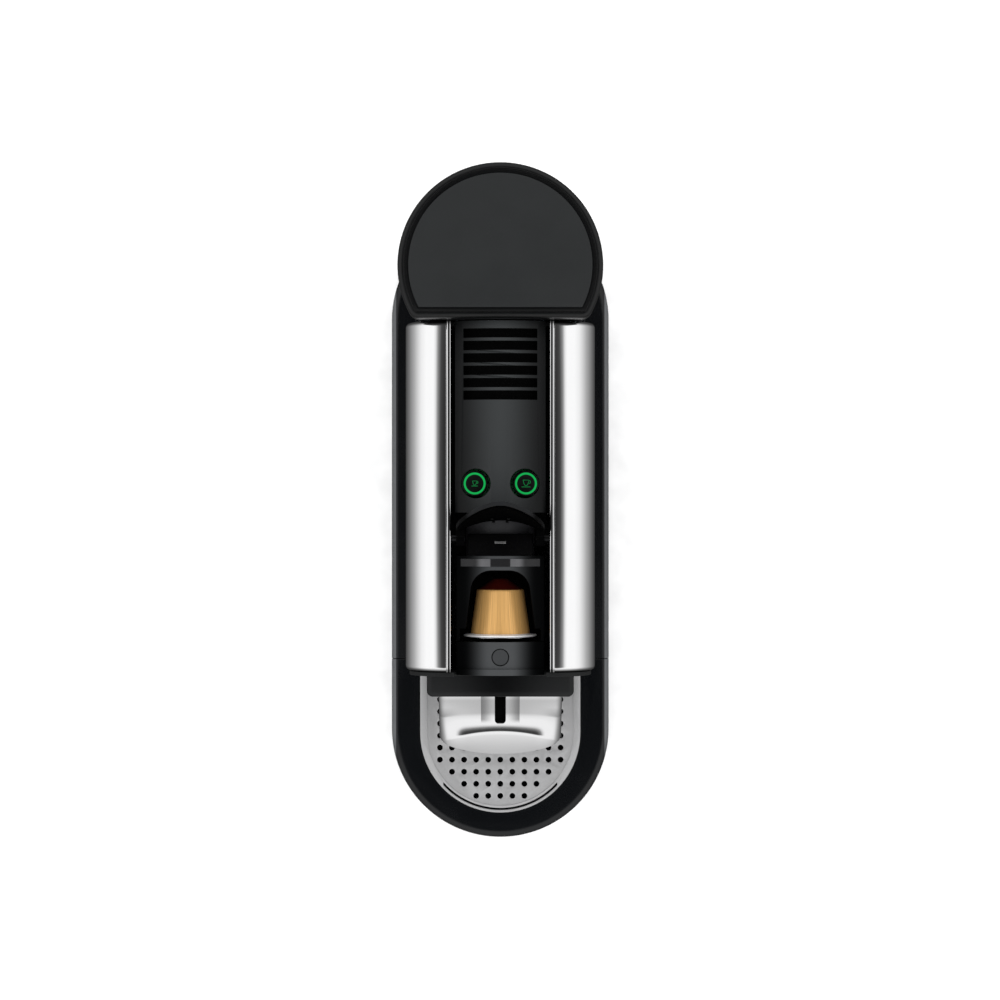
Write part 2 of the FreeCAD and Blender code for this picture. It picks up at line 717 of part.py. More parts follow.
def outlet_plate():
    """Perforated plate that the pod's foil is pressed against."""
    front, rear = "outlet_plate_y", "outlet_plate_y + outlet_plate_thickness"
    disc = rod("plate_disc", "y", ("0", "pod_z"), (front, rear), "outlet_plate_radius")
    holes = []
    for row in range(-2, 3):
        for column in range(-2, 3):
            spot = (f"{column} * outlet_hole_pitch", f"pod_z + {row} * outlet_hole_pitch")
            holes.append(rod(f"plate_hole_{row + 2}_{column + 2}", "y", spot, (f"{front} - 1", f"{rear} + 1"),
                             "outlet_hole_radius"))
    finish(cut("plate", disc, holes), "outlet_plate")


def coffee_duct():
    """Duct that leads the coffee from the plate down to the outlet."""
    wide = ("-duct_half_width", "duct_half_width")
    narrow = ("-duct_half_width + duct_wall", "duct_half_width - duct_wall")
    box = block("duct_box", wide, ("duct_front_y", "duct_rear_y"), ("duct_bottom", "duct_top"))
    inside = block("duct_inside", narrow, ("duct_front_y + duct_wall", "duct_rear_y - duct_wall"),
                   ("duct_bottom + duct_wall", "duct_top - duct_wall"))
    mouth = rod("duct_mouth", "y", ("0", "pod_z"), ("duct_rear_y - 3", "duct_rear_y + 1"), "5")
    spout = block("duct_spout", wide, ("duct_spout_y", "duct_front_y"), ("duct_bottom", "duct_spout_top"))
    spout_inside = block("duct_spout_inside", narrow, ("duct_spout_y - 1", "duct_front_y + duct_wall + 0.5"),
                         ("duct_bottom + duct_wall", "duct_spout_top - duct_wall"))
    finish(cut("duct", fuse("duct_solid", [box, spout]), [inside, mouth, spout_inside]), "coffee_duct")


def outlet_carrier():
    """Black band across the front of the head that carries the outlet hood."""
    x = ("-carrier_half_width", "carrier_half_width")
    bar = block("carrier_bar", x, ("carrier_front_y", "head_front_y - 2.8"), ("carrier_bottom", "carrier_top"))
    corners = round_edges("carrier_corners", bar, "3.3", upright_at(size("carrier_front_y")))

    def top_rim(edge):
        return at_height(size("carrier_top"))(edge) and edge.BoundBox.YMin < size("head_front_y - 2.9")

    soft = round_edges("carrier_soft", corners, "3", top_rim)
    inside = block("carrier_inside", ("-10.9", "10.9"), ("-87", "head_front_y - 2"), ("carrier_bottom - 1", "164"))
    finish(cut("carrier", soft, [inside]), "outlet_carrier")


def outlet_hood():
    """Chrome hood: a slope that flattens out, a crease and a lip, open below and at the back."""
    top = "carrier_bottom - 0.4"
    side = (("carrier_front_y + 0.4", top), ("carrier_front_y - 0.4", top), ("hood_slope_y", "hood_slope_z"),
            ("hood_crease_y", "hood_crease_z"), ("hood_front_y", "hood_lip_top"),
            ("hood_front_y", "hood_lip_bottom"), ("carrier_front_y + 0.4", "hood_lip_bottom"))
    body = profile_body("hood_body", "YZ_Plane", side, "-hood_half_width", "2 * hood_half_width")
    add_fillet(body, "hood_corner_radius", upright_at(size("hood_front_y")))
    inside_front, below = "hood_front_y + 2 * hood_wall", "hood_lip_bottom - 2"
    inner = (("carrier_front_y + 2.5", "carrier_bottom + 5"), ("carrier_front_y + 1.4", "carrier_bottom - 2"),
             ("hood_slope_y + 1.1", "hood_slope_z - 2.2"), ("hood_crease_y + 0.4", "hood_crease_z - hood_wall"),
             (inside_front, "hood_lip_top - 0.4"), (inside_front, below), ("carrier_front_y + 2.5", below))
    hollow = profile_body("hood_hollow", "YZ_Plane", inner, "-hood_half_width + hood_wall",
                          "2 * (hood_half_width - hood_wall)")
    add_fillet(hollow, "hood_corner_radius - hood_wall", upright_at(size(inside_front)))
    slot = block("hood_slot", ("-slot_half_width", "slot_half_width"), ("slot_end_y", "carrier_front_y + 5"),
                 ("hood_crease_z - 5", "carrier_bottom + 3"))
    finish(cut("hood", body, [hollow, slot]), "outlet_hood")


def coffee_nozzle():
    """Twin spout: a riser behind the hood, an arm forward under it, and two legs over the grid."""
    sides = (("left", "-nozzle_leg_x"), ("right", "nozzle_leg_x"))
    body = block("nozzle_body", ("-nozzle_half_width", "nozzle_half_width"), ("nozzle_front_y", "nozzle_rear_y"),
                 ("arm_bottom", "carrier_bottom + 8"))
    arm = block("nozzle_arm", ("-arm_half_width", "arm_half_width"), ("arm_tip_y", "nozzle_front_y + 1"),
                ("arm_bottom", "arm_top"))
    legs = [rod(f"nozzle_leg_{side}", "z", (x, "nozzle_leg_y"), ("nozzle_bottom", "arm_bottom + 1"),
                "nozzle_leg_radius") for side, x in sides]
    bores = [rod(f"nozzle_bore_{side}", "z", (x, "nozzle_leg_y"), ("nozzle_bottom - 1", "arm_top - 4"),
                 "nozzle_bore_radius") for side, x in sides]
    wide = ("-arm_half_width + duct_wall", "arm_half_width - duct_wall")
    channel = block("nozzle_channel", wide, ("nozzle_leg_y - 4", "nozzle_rear_y - 3.5"),
                    ("arm_bottom + duct_wall", "arm_top - duct_wall"))
    riser = block("nozzle_riser", wide, ("nozzle_front_y + 2.5", "nozzle_rear_y - 3.5"),
                  ("arm_bottom + duct_wall", "carrier_bottom"))
    inlet = block("nozzle_inlet", ("-7", "7"), ("-84.5", "-74"), ("carrier_bottom - 2", "carrier_bottom + 6"))
    finish(cut("nozzle", fuse("nozzle_solid", [body, arm] + legs), bores + [channel, riser, inlet]), "coffee_nozzle")


# ---------------------------------------------------------------------------------------------
# lever: drawn closed about its pivot, then swung open
# ---------------------------------------------------------------------------------------------

def open_lever(piece):
    """Swing a lever piece, drawn closed about the pivot, to its open place."""
    turn = FreeCAD.Rotation(FreeCAD.Vector(1, 0, 0), -size("lever_swing"))
    piece.Placement = FreeCAD.Placement(FreeCAD.Vector(0, size("pivot_y"), size("pivot_z")), turn)
    return piece


def lever_outline(name, inset, heel):
    """Pointed arch in plan, as a prism: the shape that two wide arcs share."""
    offset = "lever_arc_radius - lever_half_width"
    z = ("-15", "15")
    arcs = [rod(f"{name}_arc_{side}", "z", (f"{sign}({offset})", "-lever_arc_start"), z,
                f"lever_arc_radius - {inset}") for side, sign in (("left", "-"), ("right", ""))]
    slab = block(f"{name}_slab", ("-lever_half_width", "lever_half_width"), (f"-lever_length + {inset}", heel), z)
    return common(name, arcs + [slab])


def lever_ring(name, outer, inner):
    """Crowned sheet between two radii about the head's crown axis, in the lever's own frame."""
    centre_z = "crown_top - crown_radius - pivot_z"
    y = ("-lever_length - 5", "20")
    return cut(name, rod(f"{name}_outer", "y", ("0", centre_z), y, outer),
               [rod(f"{name}_inner", "y", ("0", centre_z), ("-lever_length - 6", "21"), inner)])


def lever():
    """Lever shell with its hinge barrel, inner liner, screws and catch."""
    prism = lever_outline("lever_prism", "0", "-2.4")
    tip = round_edges("lever_rounded", prism, "2.4", upright_at(size("-lever_length")))
    inner = "crown_radius - lever_wall"
    sheet_part = common("lever_sheet", [tip, lever_ring("lever_band", "crown_radius", inner)])
    sides = (("left", ("-lever_half_width", "-barrel_inner_x")), ("right", ("barrel_inner_x", "lever_half_width")))
    barrels = [rod(f"lever_barrel_{side}", "x", ("0", "0"), x, "barrel_radius") for side, x in sides]
    webs = [block(f"lever_web_{side}", x, ("-9", "0"), ("0", "barrel_radius")) for side, x in sides]
    bore = rod("lever_bore", "x", ("0", "0"), ("-30", "30"), "lever_pin_radius + running_clearance")
    shell = cut("lever_cut", fuse("lever_solid", [sheet_part] + barrels + webs), [bore])
    finish(open_lever(shell), "lever_shell")

    liner_prism = lever_outline("liner_prism", "1.3", "-10")
    liner = common("liner", [liner_prism, lever_ring("liner_band", inner, f"{inner} - lever_liner_wall")])
    finish(open_lever(liner), "lever_liner")

    under = f"crown_top - crown_radius - pivot_z + {inner} - lever_liner_wall"
    spots = (("-3.4", "-14", "1.7"), ("3.4", "-14", "1.7"), ("-4.1", "-26", "1.3"), ("4.1", "-26", "1.3"))
    screws = [rod(f"lever_screw_{index}", "z", (x, y), (f"{under} - {length}", f"{under} - 0.4"), "0.75")
              for index, (x, y, length) in enumerate(spots)]
    finish(open_lever(fuse("lever_screw_set", screws)), "lever_screws")


def hinge():
    """Two steel hinge pins held in the head, and the crowned bridge between them with its clip."""
    pins = [rod(f"hinge_pin_{side}", "x", ("pivot_y", "pivot_z"), x, "lever_pin_radius")
            for side, x in (("left", ("-pin_outer_x", "-pin_inner_x")), ("right", ("pin_inner_x", "pin_outer_x")))]
    finish(fuse("hinge_pins", pins), "lever_pins")
    finish(crown_shell("bridge", "surround_radius", "bridge_wall", "bridge_half_width", ("-11.1", "-0.3")), "hinge_bridge")
    finish(block("clip", ("-2.8", "2.8"), ("-5.2", "-4"), ("crown_top - 4.95", "crown_top - 4.7")), "bridge_clip")


# ---------------------------------------------------------------------------------------------
# buttons
# ---------------------------------------------------------------------------------------------

def button(side, label):
    """Push button: a cap with a stem, and the light ring let into its face."""
    x = "-button_x" if side == "left" else "button_x"
    cap = rod(f"{side}_cap", "z", (x, "button_y"), ("button_top - 3.6", "button_top"), "button_radius")
    stem = rod(f"{side}_stem", "z", (x, "button_y"), ("257.4", "button_top - 3"), "2.2")
    groove = cut(f"{side}_groove", rod(f"{side}_groove_outer", "z", (x, "button_y"),
                                       ("button_top - 0.9", "button_top + 1"), "ring_outer_radius"),
                 [rod(f"{side}_groove_inner", "z", (x, "button_y"), ("button_top - 2", "button_top + 2"),
                      "ring_inner_radius")])
    finish(cut(f"{side}_button", fuse(f"{side}_button_solid", [cap, stem]), [groove]), f"{label}_button")
    z = ("button_top - 0.9", "button_top + 0.1")
    ring = cut(f"{side}_ring", rod(f"{side}_ring_outer", "z", (x, "button_y"), z, "ring_outer_radius"),
               [rod(f"{side}_ring_inner", "z", (x, "button_y"), ("button_top - 2", "button_top + 2"),
                    "ring_inner_radius")])
    finish(ring, f"{label}_light_ring")


def control_board():
    """Circuit board under the buttons, with a switch below each stem."""
    top = "board_z + board_thickness"
    board = block("board", ("-board_half_width", "board_half_width"), ("19", "60"), ("board_z", top))
    finish(board, "control_board")
    switches = [block(f"switch_{side}", (f"{x} - switch_half_size", f"{x} + switch_half_size"),
                      ("button_y - switch_half_size", "button_y + switch_half_size"),
                      (top, f"{top} + switch_height")) for side, x in (("left", "-button_x"), ("right", "button_x"))]
    finish(fuse("switches", switches), "button_switches")
    post_z = ("upper_deck_z + frame_wall + 0.2", "board_z - 0.2")
    posts = [block(f"post_{side}_{index}", x, y, post_z)
             for side, x in (("left", ("-board_half_width", "-board_half_width + 2.5")),
                             ("right", ("board_half_width - 2.5", "board_half_width")))
             for index, y in enumerate((("20", "24"), ("55", "59")))]
    finish(fuse("posts", posts), "board_posts")


# ---------------------------------------------------------------------------------------------
# water: tank, lid, dock, pump, heater
# ---------------------------------------------------------------------------------------------

def water_tank():
    """Clear tank with a flat side towards the column, open at the top."""
    outer = tank_shape("tank_outer", "tank_radius", "tank_flat_y", ("tank_bottom", "tank_top"))
    inner = tank_shape("tank_inner", "tank_radius - tank_wall", "tank_flat_y + tank_wall",
                       ("tank_bottom + 3", "tank_top + 1"))
    hole = rod("tank_hole", "z", ("0", "tank_centre_y"), ("tank_bottom - 1", "tank_bottom + 5"), "6.3")
    finish(cut("tank", outer, [inner, hole]), "water_tank")
    flange = rod("valve_flange", "z", ("0", "tank_centre_y"), ("tank_bottom + 3.1", "tank_bottom + 5"), "9")
    neck = rod("valve_neck", "z", ("0", "tank_centre_y"), ("44.5", "tank_bottom + 4"), "6")
    bore = rod("valve_bore", "z", ("0", "tank_centre_y"), ("40", "60"), "2")
    finish(cut("valve", fuse("valve_solid", [flange, neck]), [bore]), "tank_valve")


def tank_lid():
    """Lid: a rounded ring with a lip into the tank, and the flat plate set in its top."""
    body = tank_shape("lid_body", "lid_radius", "lid_flat_y", ("lid_bottom", "lid_top"))

    def corner(edge):
        box = edge.BoundBox
        return box.ZLength > 5 and abs(box.YMax - size("lid_flat_y")) < 0.01

    corners = round_edges("lid_corners", body, "6", corner)
    soft = round_edges("lid_soft", corners, "lid_edge_radius", at_height(size("lid_top")))
    recess = tank_shape("lid_recess", "lid_plate_radius + lid_groove_width", "lid_plate_flat_y - lid_groove_width",
                        ("lid_top - lid_recess_depth", "lid_top + 1"))
    underside = tank_shape("lid_underside", "lid_radius - 2.5", "lid_flat_y + 2.5",
                           ("lid_bottom - 1", "lid_top - lid_recess_depth - 2"))
    lip_outer = tank_shape("lip_outer", "tank_radius - tank_wall - 0.4", "tank_flat_y + tank_wall + 0.4",
                           ("lid_bottom - 7", "lid_top - lid_recess_depth - 1"))
    lip_inner = tank_shape("lip_inner", "tank_radius - tank_wall - 2.2", "tank_flat_y + tank_wall + 2.2",
                           ("lid_bottom - 8", "lid_top - lid_recess_depth - 2"))
    cap = cut("lid_cap", soft, [recess, underside])
    lip = cut("lid_lip", lip_outer, [lip_inner])
    finish(fuse("lid", [cap, lip]), "tank_lid")
    plate = tank_shape("lid_plate_solid", "lid_plate_radius", "lid_plate_flat_y",
                       ("lid_top - lid_recess_depth", "lid_top - 0.4"))
    finish(plate, "lid_plate")


def tank_dock():
    """Skirt on the base that the tank stands in, and its valve seal."""
    outer = tank_shape("dock_outer", "lid_radius - 0.2", "lid_flat_y", ("base_top", "tank_bottom + 4"))
    inner = tank_shape("dock_inner", "tank_radius + 0.4", "tank_flat_y - 0.4", ("tank_bottom - 0.4", "tank_bottom + 5"))
    hole = rod("dock_hole", "z", ("0", "tank_centre_y"), ("base_top - 1", "tank_bottom + 1"), "8.8")
    finish(cut("dock", outer, [inner, hole]), "tank_dock")
    seal = rod("seal_outer", "z", ("0", "tank_centre_y"), ("44", "49"), "8.6")
    bore = rod("seal_bore", "z", ("0", "tank_centre_y"), ("43", "50"), "6.3")
    finish(cut("seal", seal, [bore]), "dock_seal")


def pump():
    """Vibration pump: housing, coil and its two rubber mounts."""
    spot, inner = ("0", "pump_axis_z"), "pump_half_width - pump_yoke"
    frame = block("pump_frame", ("-pump_half_width", "pump_half_width"), ("pump_front_y", "pump_rear_y"),
                  ("pump_bottom", "pump_top"))
    window = block("pump_window", (f"-({inner})", inner), ("pump_front_y + pump_yoke", "pump_rear_y - pump_yoke"),
                   ("pump_bottom - 1", "pump_top + 1"))
    barrel = rod("pump_barrel", "y", spot, ("pump_front_y - 14", "pump_rear_y + 14"), "pump_barrel_radius")
    outlet = rod("pump_outlet", "y", spot, ("pump_front_y - 21", "pump_front_y - 13"), "pump_barrel_radius/2")
    finish(fuse("pump", [cut("pump_yoke", frame, [window]), barrel, outlet]), "pump_body")
    coil_y = ("pump_front_y + pump_yoke + 1", "pump_rear_y - pump_yoke - 1")
    coil = rod("coil_outer", "y", spot, coil_y, "coil_radius")
    coil_bore = rod("coil_bore", "y", spot, (f"{coil_y[0]} - 1", f"{coil_y[1]} + 1"), "pump_barrel_radius + 0.1")
    finish(cut("coil", coil, [coil_bore]), "pump_coil")
    mounts = [block(f"mount_{index}", ("-12", "12"), y, ("46.4", "pump_bottom - 0.2")) for index, y in
              enumerate((("23", "30"), ("50", "57")))]
    finish(fuse("mounts", mounts), "pump_mounts")


def heater():
    """Thermoblock on the middle deck, and the flow meter beside it."""
    deck = "middle_deck_z + frame_wall + 0.1"
    body = block("heater_body", ("-heater_half_width", "heater_half_width"), ("20", "82"),
                 ("heater_bottom", "heater_top"))
    fins = []
    for index in range(6):
        front = f"28 + {index} * heater_fin_pitch"
        fins.append(block(f"heater_gap_{index}", ("-heater_half_width - 1", "heater_half_width + 1"),
                          (front, f"{front} + heater_fin_gap"), ("heater_top - 10", "heater_top + 1")))
    port = rod("heater_port", "y", ("0", "130"), ("15", "21"), "4")
    finish(fuse("heater", [cut("heater_block", body, fins), port]), "thermoblock")
    feet = [block(f"heater_foot_{index}", ("-20", "20"), y, (deck, f"{deck} + 2"))
            for index, y in enumerate((("24", "30"), ("72", "78")))]
    finish(fuse("heater_feet_set", feet), "thermoblock_feet")
    meter = rod("meter_drum", "z", ("-30", "90"), (deck, "130"), "meter_radius")
    finish(meter, "flow_meter")


def hoses():
    """Suction hose under the base, pressure hose to the heater, and brew hose to the cage."""
    hose("suction", "suction_hose", (("0", "tank_centre_y", "43.5"), ("0", "tank_centre_y", "24"),
                                     ("0", "76", "24"), ("0", "76", "69")), 3.0, 1.8)
    hose("pressure", "pressure_hose", (("-24", "5", "79"), ("-30", "5", "79"), ("-30", "40", "79"),
                                       ("-30", "40", "130")), 2.5, 1.5)
    hose("brew", "brew_hose", (("0", "14.5", "130"), ("0", "8", "130"), ("30", "8", "130"),
                               ("30", "8", "215")), 2.5, 1.5)


# ---------------------------------------------------------------------------------------------
# drip unit and used pods
# ---------------------------------------------------------------------------------------------

def drip_tray():
    """Front of the base: the tray that slides out, with a seat for the grid and a basin."""
    rear = "seam_y - part_gap"
    solid = stadium("tray_solid", "base_width/2", rear, ("foot_height", "base_top"))

    def outer_top(edge):
        return at_height(size("base_top"))(edge) and edge.BoundBox.YMin < size("seam_y") - 1

    rounded = round_edges("tray_rounded", solid, "base_edge_radius", outer_top)
    seat = stadium("tray_seat", "grid_half_width + 0.4", "grid_rear_y + 0.4", ("grid_top - 5", "base_top + 1"),
                   "grid_centre_y")
    basin = stadium("tray_basin", "grid_half_width - 3", "grid_rear_y - 1.5", ("foot_height + 3", "base_top"),
                    "grid_centre_y")
    finish(cut("tray", rounded, [seat, basin]), "drip_tray")
    feet = [rod(f"tray_foot_{index}", "z", (x, y), ("0", "foot_height"), "tray_foot_radius")
            for index, (x, y) in enumerate((("-50", "-90"), ("50", "-90"), ("0", "-172")))]
    finish(fuse("tray_feet", feet), "drip_tray_feet")


def drip_grid():
    """Perforated grid with a stepped rim, a skirt and a curved finger slot at the front."""
    rear, centre_y = "grid_rear_y", "grid_centre_y"
    solid = stadium("grid_solid", "grid_half_width", rear, ("grid_top - 4.6", "grid_top"), centre_y)
    step = stadium("grid_step", "grid_inner_half_width", f"{rear} + 1", ("grid_top - 0.6", "grid_top + 1"), centre_y)
    under = stadium("grid_under", "grid_half_width - 1.2", f"{rear} - 1.2",
                    ("grid_top - 5", "grid_top - 0.6 - grid_wall"), centre_y)
    plate = cut("grid_plate", solid, [step, under])
    z = ("grid_top - 4", "grid_top + 1")
    slot = cut("grid_slot_ring", rod("grid_slot_outer", "z", ("0", centre_y), z, "slot_outer_radius"),
               [rod("grid_slot_inner", "z", ("0", centre_y), z, "slot_inner_radius")])
    front = block("grid_slot_front", ("-33.5", "33.5"), ("-170", "-149.5"), z)
    holes = []
    for index, count in enumerate(GRID_ROW_COUNTS):
        y = f"grid_first_row_y + {index} * grid_hole_pitch"
        for column in range(count):
            x = f"{column - (count - 1) // 2} * grid_hole_pitch"
            holes.append(rod(f"grid_hole_{index}_{column}", "z", (x, y), z, "grid_hole_radius"))
    finish(cut("grid", plate, holes + [common("grid_slot", [slot, front])]), "drip_grid")


def capsule_container():
    """Bin for used pods, pulled out from under the head."""
    front = "head_front_y - 1.8"
    outer = block("bin_outer", ("-container_half_width", "container_half_width"), (front, "container_rear_y"),
                  ("base_top + 2.6", "container_top"))
    inner = block("bin_inner", ("-container_half_width + container_wall", "container_half_width - container_wall"),
                  (f"{front} + container_wall", "container_rear_y - container_wall"),
                  ("base_top + 2.6 + container_wall", "container_top + 1"))
    finish(cut("bin", outer, [inner]), "capsule_container")


# ---------------------------------------------------------------------------------------------
# build, check and write
# ---------------------------------------------------------------------------------------------

def write_parts():
    """Check every object and write one STEP file for each finished sub-part."""
    doc.recompute()
    for item in doc.Objects:
        trouble = [state for state in item.State if state in ("Invalid", "Error")]
        assert not trouble, f"{item.Name}: {trouble}"
    os.makedirs("parts", exist_ok=True)
    for piece in FINISHED:
        assert not piece.Shape.isNull(), f"{piece.Label} is empty"
        assert piece.Shape.isValid(), f"{piece.Label} isn't valid"
        piece.Shape.exportStep(f"parts/{piece.Label}.step")
        print(piece.Label, len(piece.Shape.Solids), piece.Shape.BoundBox)


def main():
    """Build every sub-part, then write them."""
    base_housing()
    base_plate()
    base_feet()
    cord_inlet()
    base_screws()
    column_frame()
    side_panel("left", "left_side_panel")
    side_panel("right", "right_side_panel")
    trim_rail("left", "left_trim_rail")
    trim_rail("right", "right_trim_rail")
    rear_panel()
    front_panel()
    top_cover()
    vent_liner()
    pod_chute()
    chute_strip()
    front_cover()
    front_plug()
    pod()
    brew_cage()
    cage_pushrod()
    cage_bearing()
    outlet_plate()
    coffee_duct()
    outlet_carrier()
    outlet_hood()
    coffee_nozzle()
    lever()
    hinge()
    button("left", "espresso")
    button("right", "lungo")
    control_board()
    water_tank()
    tank_lid()
    tank_dock()
    pump()
    heater()
    hoses()
    drip_tray()
    drip_grid()
    capsule_container()
    write_parts()


main()
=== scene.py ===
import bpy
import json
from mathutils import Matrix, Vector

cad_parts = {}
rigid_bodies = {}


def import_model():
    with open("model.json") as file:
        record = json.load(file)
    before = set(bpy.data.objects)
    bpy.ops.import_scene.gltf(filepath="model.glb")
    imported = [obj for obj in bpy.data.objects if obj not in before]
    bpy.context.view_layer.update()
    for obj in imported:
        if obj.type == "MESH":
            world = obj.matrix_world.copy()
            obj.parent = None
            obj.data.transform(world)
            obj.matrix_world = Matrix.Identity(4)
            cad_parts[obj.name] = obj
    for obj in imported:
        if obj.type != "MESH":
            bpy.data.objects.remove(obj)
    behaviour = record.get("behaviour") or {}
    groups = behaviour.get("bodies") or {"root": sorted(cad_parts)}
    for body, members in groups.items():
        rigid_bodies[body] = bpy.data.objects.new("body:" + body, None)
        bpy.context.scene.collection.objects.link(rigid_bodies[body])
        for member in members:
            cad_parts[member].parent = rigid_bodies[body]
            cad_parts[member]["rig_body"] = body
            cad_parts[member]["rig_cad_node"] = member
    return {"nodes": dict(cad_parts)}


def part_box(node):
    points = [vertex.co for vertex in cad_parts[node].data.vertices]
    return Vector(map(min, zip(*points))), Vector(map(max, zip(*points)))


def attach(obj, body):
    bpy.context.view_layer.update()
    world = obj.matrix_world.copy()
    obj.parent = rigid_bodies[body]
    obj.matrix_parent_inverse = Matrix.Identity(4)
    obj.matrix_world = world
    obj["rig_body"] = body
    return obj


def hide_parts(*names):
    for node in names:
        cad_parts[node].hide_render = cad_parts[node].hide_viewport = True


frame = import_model()

"""Pod coffee machine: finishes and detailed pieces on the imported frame, in metres, front at -Y."""

import json
import logging
import math
from collections.abc import Callable, Sequence
from dataclasses import dataclass
from enum import Enum

import bpy
from mathutils import Vector

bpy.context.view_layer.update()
MM = 0.001
TINY = 0.02 * MM
NODES = frame["nodes"]

log = logging.getLogger("pod_coffee_machine")

Colour = tuple[float, float, float]


class Side(Enum):
    """Left or right of the machine, seen from the front."""

    LEFT = -1
    RIGHT = 1

    @property
    def word(self) -> str:
        """The side's name in lower case."""
        return self.name.lower()


class Cup(Enum):
    """The two cup sizes that the buttons choose."""

    ESPRESSO = "espresso"
    LUNGO = "lungo"


# ---------------------------------------------------------------------------------------------
# shader bench
# ---------------------------------------------------------------------------------------------

class Signal:
    """A shader socket that can be used in Python expressions."""

    def __init__(self, graph: "ShaderGraph", socket: bpy.types.NodeSocket) -> None:
        """Wrap a socket.

        Args:
            graph: The graph that new maths nodes go into.
            socket: The output socket that carries the value.
        """
        self.graph = graph
        self.socket = socket

    def _join(self, operation: str, first: object, second: object) -> "Signal":
        """Add one Math node on two values.

        Args:
            operation: The Math node's operation.
            first: The first value, a number or a Signal.
            second: The second value, a number or a Signal.

        Returns:
            The node's result.
        """
        return self.graph.signal("ShaderNodeMath", {"operation": operation}, {0: first, 1: second})

    def __add__(self, other: object) -> "Signal":
        """self + other."""
        return self._join("ADD", self, other)

    __radd__ = __add__

    def __sub__(self, other: object) -> "Signal":
        """self - other."""
        return self._join("SUBTRACT", self, other)

    def __rsub__(self, other: object) -> "Signal":
        """other - self."""
        return self._join("SUBTRACT", other, self)

    def __mul__(self, other: object) -> "Signal":
        """self * other."""
        return self._join("MULTIPLY", self, other)

    __rmul__ = __mul__

    def __truediv__(self, other: object) -> "Signal":
        """self / other."""
        return self._join("DIVIDE", self, other)

    def __abs__(self) -> "Signal":
        """The value without its sign."""
        return self._join("ABSOLUTE", self, 0.0)

    def rise(self, low: float, high: float) -> "Signal":
        """A soft step from 0 at low to 1 at high, or falling where low is above high.

        Args:
            low: Where the step starts.
            high: Where the step ends.

        Returns:
            A value from 0 to 1.
        """
        flip = low > high
        values = {"Value": self, "From Min": min(low, high), "From Max": max(low, high),
                  "To Min": float(flip), "To Max": float(not flip)}
        return self.graph.signal("ShaderNodeMapRange", {"interpolation_type": "SMOOTHSTEP"}, values)


class ShaderGraph:
    """Nodes of one material or world."""

    def __init__(self, tree: bpy.types.NodeTree) -> None:
        """Start on an empty tree.

        Args:
            tree: The node tree to fill.
        """
        self.tree = tree
        tree.nodes.clear()

    def node(self, kind: str, settings: dict | None = None,
             inputs: dict | None = None) -> bpy.types.Node:
        """Add one node.

        Args:
            kind: The node's type.
            settings: Properties of the node, set first; "stops" holds a colour ramp's stops.
            inputs: Values, colours, sockets or Signals by input name or number.

        Returns:
            The new node.
        """
        made = self.tree.nodes.new(kind)
        for name, value in (settings or {}).items():
            if name == "stops":
                self._set_stops(made.color_ramp, value)
            else:
                setattr(made, name, value)
        for name, value in (inputs or {}).items():
            socket = made.inputs[name]
            if isinstance(value, Signal):
                self.tree.links.new(value.socket, socket)
            elif isinstance(value, bpy.types.NodeSocket):
                self.tree.links.new(value, socket)
            elif isinstance(value, tuple) and socket.type == "RGBA":
                socket.default_value = (*value, 1.0)
            else:
                socket.default_value = value
        return made

    def signal(self, kind: str, settings: dict | None = None, inputs: dict | None = None,
               output: str | int = 0) -> Signal:
        """Add one node and wrap one of its outputs.

        Args:
            kind: The node's type.
            settings: As for node().
            inputs: As for node().
            output: The output's name or number.

        Returns:
            The wrapped output.
        """
        return Signal(self, self.node(kind, settings, inputs).outputs[output])

    @staticmethod
    def _set_stops(ramp: bpy.types.ColorRamp, stops: Sequence[tuple[float, Colour]]) -> None:
        """Give a colour ramp its stops.

        Args:
            ramp: The ramp.
            stops: Place and colour of each stop, in order.
        """
        while len(ramp.elements) < len(stops):
            ramp.elements.new(1.0)
        for element, (place, colour) in zip(ramp.elements, stops):
            element.position = place
            element.color = (*colour, 1.0)

    def here(self) -> Signal:
        """The place on the object, in metres."""
        return self.signal("ShaderNodeTexCoord", output="Object")

    def axes(self, place: Signal | None = None) -> tuple[Signal, Signal, Signal]:
        """The three numbers of a place.

        Args:
            place: The vector to split, or the place on the object.

        Returns:
            Its X, Y and Z.
        """
        split = self.node("ShaderNodeSeparateXYZ", inputs={0: place or self.here()})
        return tuple(Signal(self, split.outputs[number]) for number in range(3))

    def vector(self, x: object, y: object, z: object) -> Signal:
        """A vector of three values.

        Args:
            x: Its X, a number or a Signal.
            y: Its Y, a number or a Signal.
            z: Its Z, a number or a Signal.

        Returns:
            The vector.
        """
        return self.signal("ShaderNodeCombineXYZ", inputs={0: x, 1: y, 2: z})

    def noise(self, scale: float, detail: float = 3.0, place: Signal | None = None) -> Signal:
        """Smooth noise from 0 to 1.

        Args:
            scale: Features per metre.
            detail: Octaves of finer noise.
            place: Where to read it, or the place on the object.

        Returns:
            The noise value.
        """
        values = {"Vector": place or self.here(), "Scale": scale, "Detail": detail}
        return self.signal("ShaderNodeTexNoise", inputs=values)

    def blend(self, amount: object, first: object, second: object) -> Signal:
        """A colour between two colours.

        Args:
            amount: 0 for the first colour and 1 for the second.
            first: The first colour.
            second: The second colour.

        Returns:
            The mixed colour.
        """
        values = {0: amount, 6: first, 7: second}
        return self.signal("ShaderNodeMix", {"data_type": "RGBA"}, values, output=2)

    def bump(self, height: Signal, depth: float) -> Signal:
        """A normal from a height.

        Args:
            height: The height, from 0 to 1.
            depth: How high 1 is, in metres.

        Returns:
            The bent normal.
        """
        values = {"Strength": 1.0, "Distance": depth, "Height": height}
        return self.signal("ShaderNodeBump", inputs=values)


# ---------------------------------------------------------------------------------------------
# finishes
# ---------------------------------------------------------------------------------------------

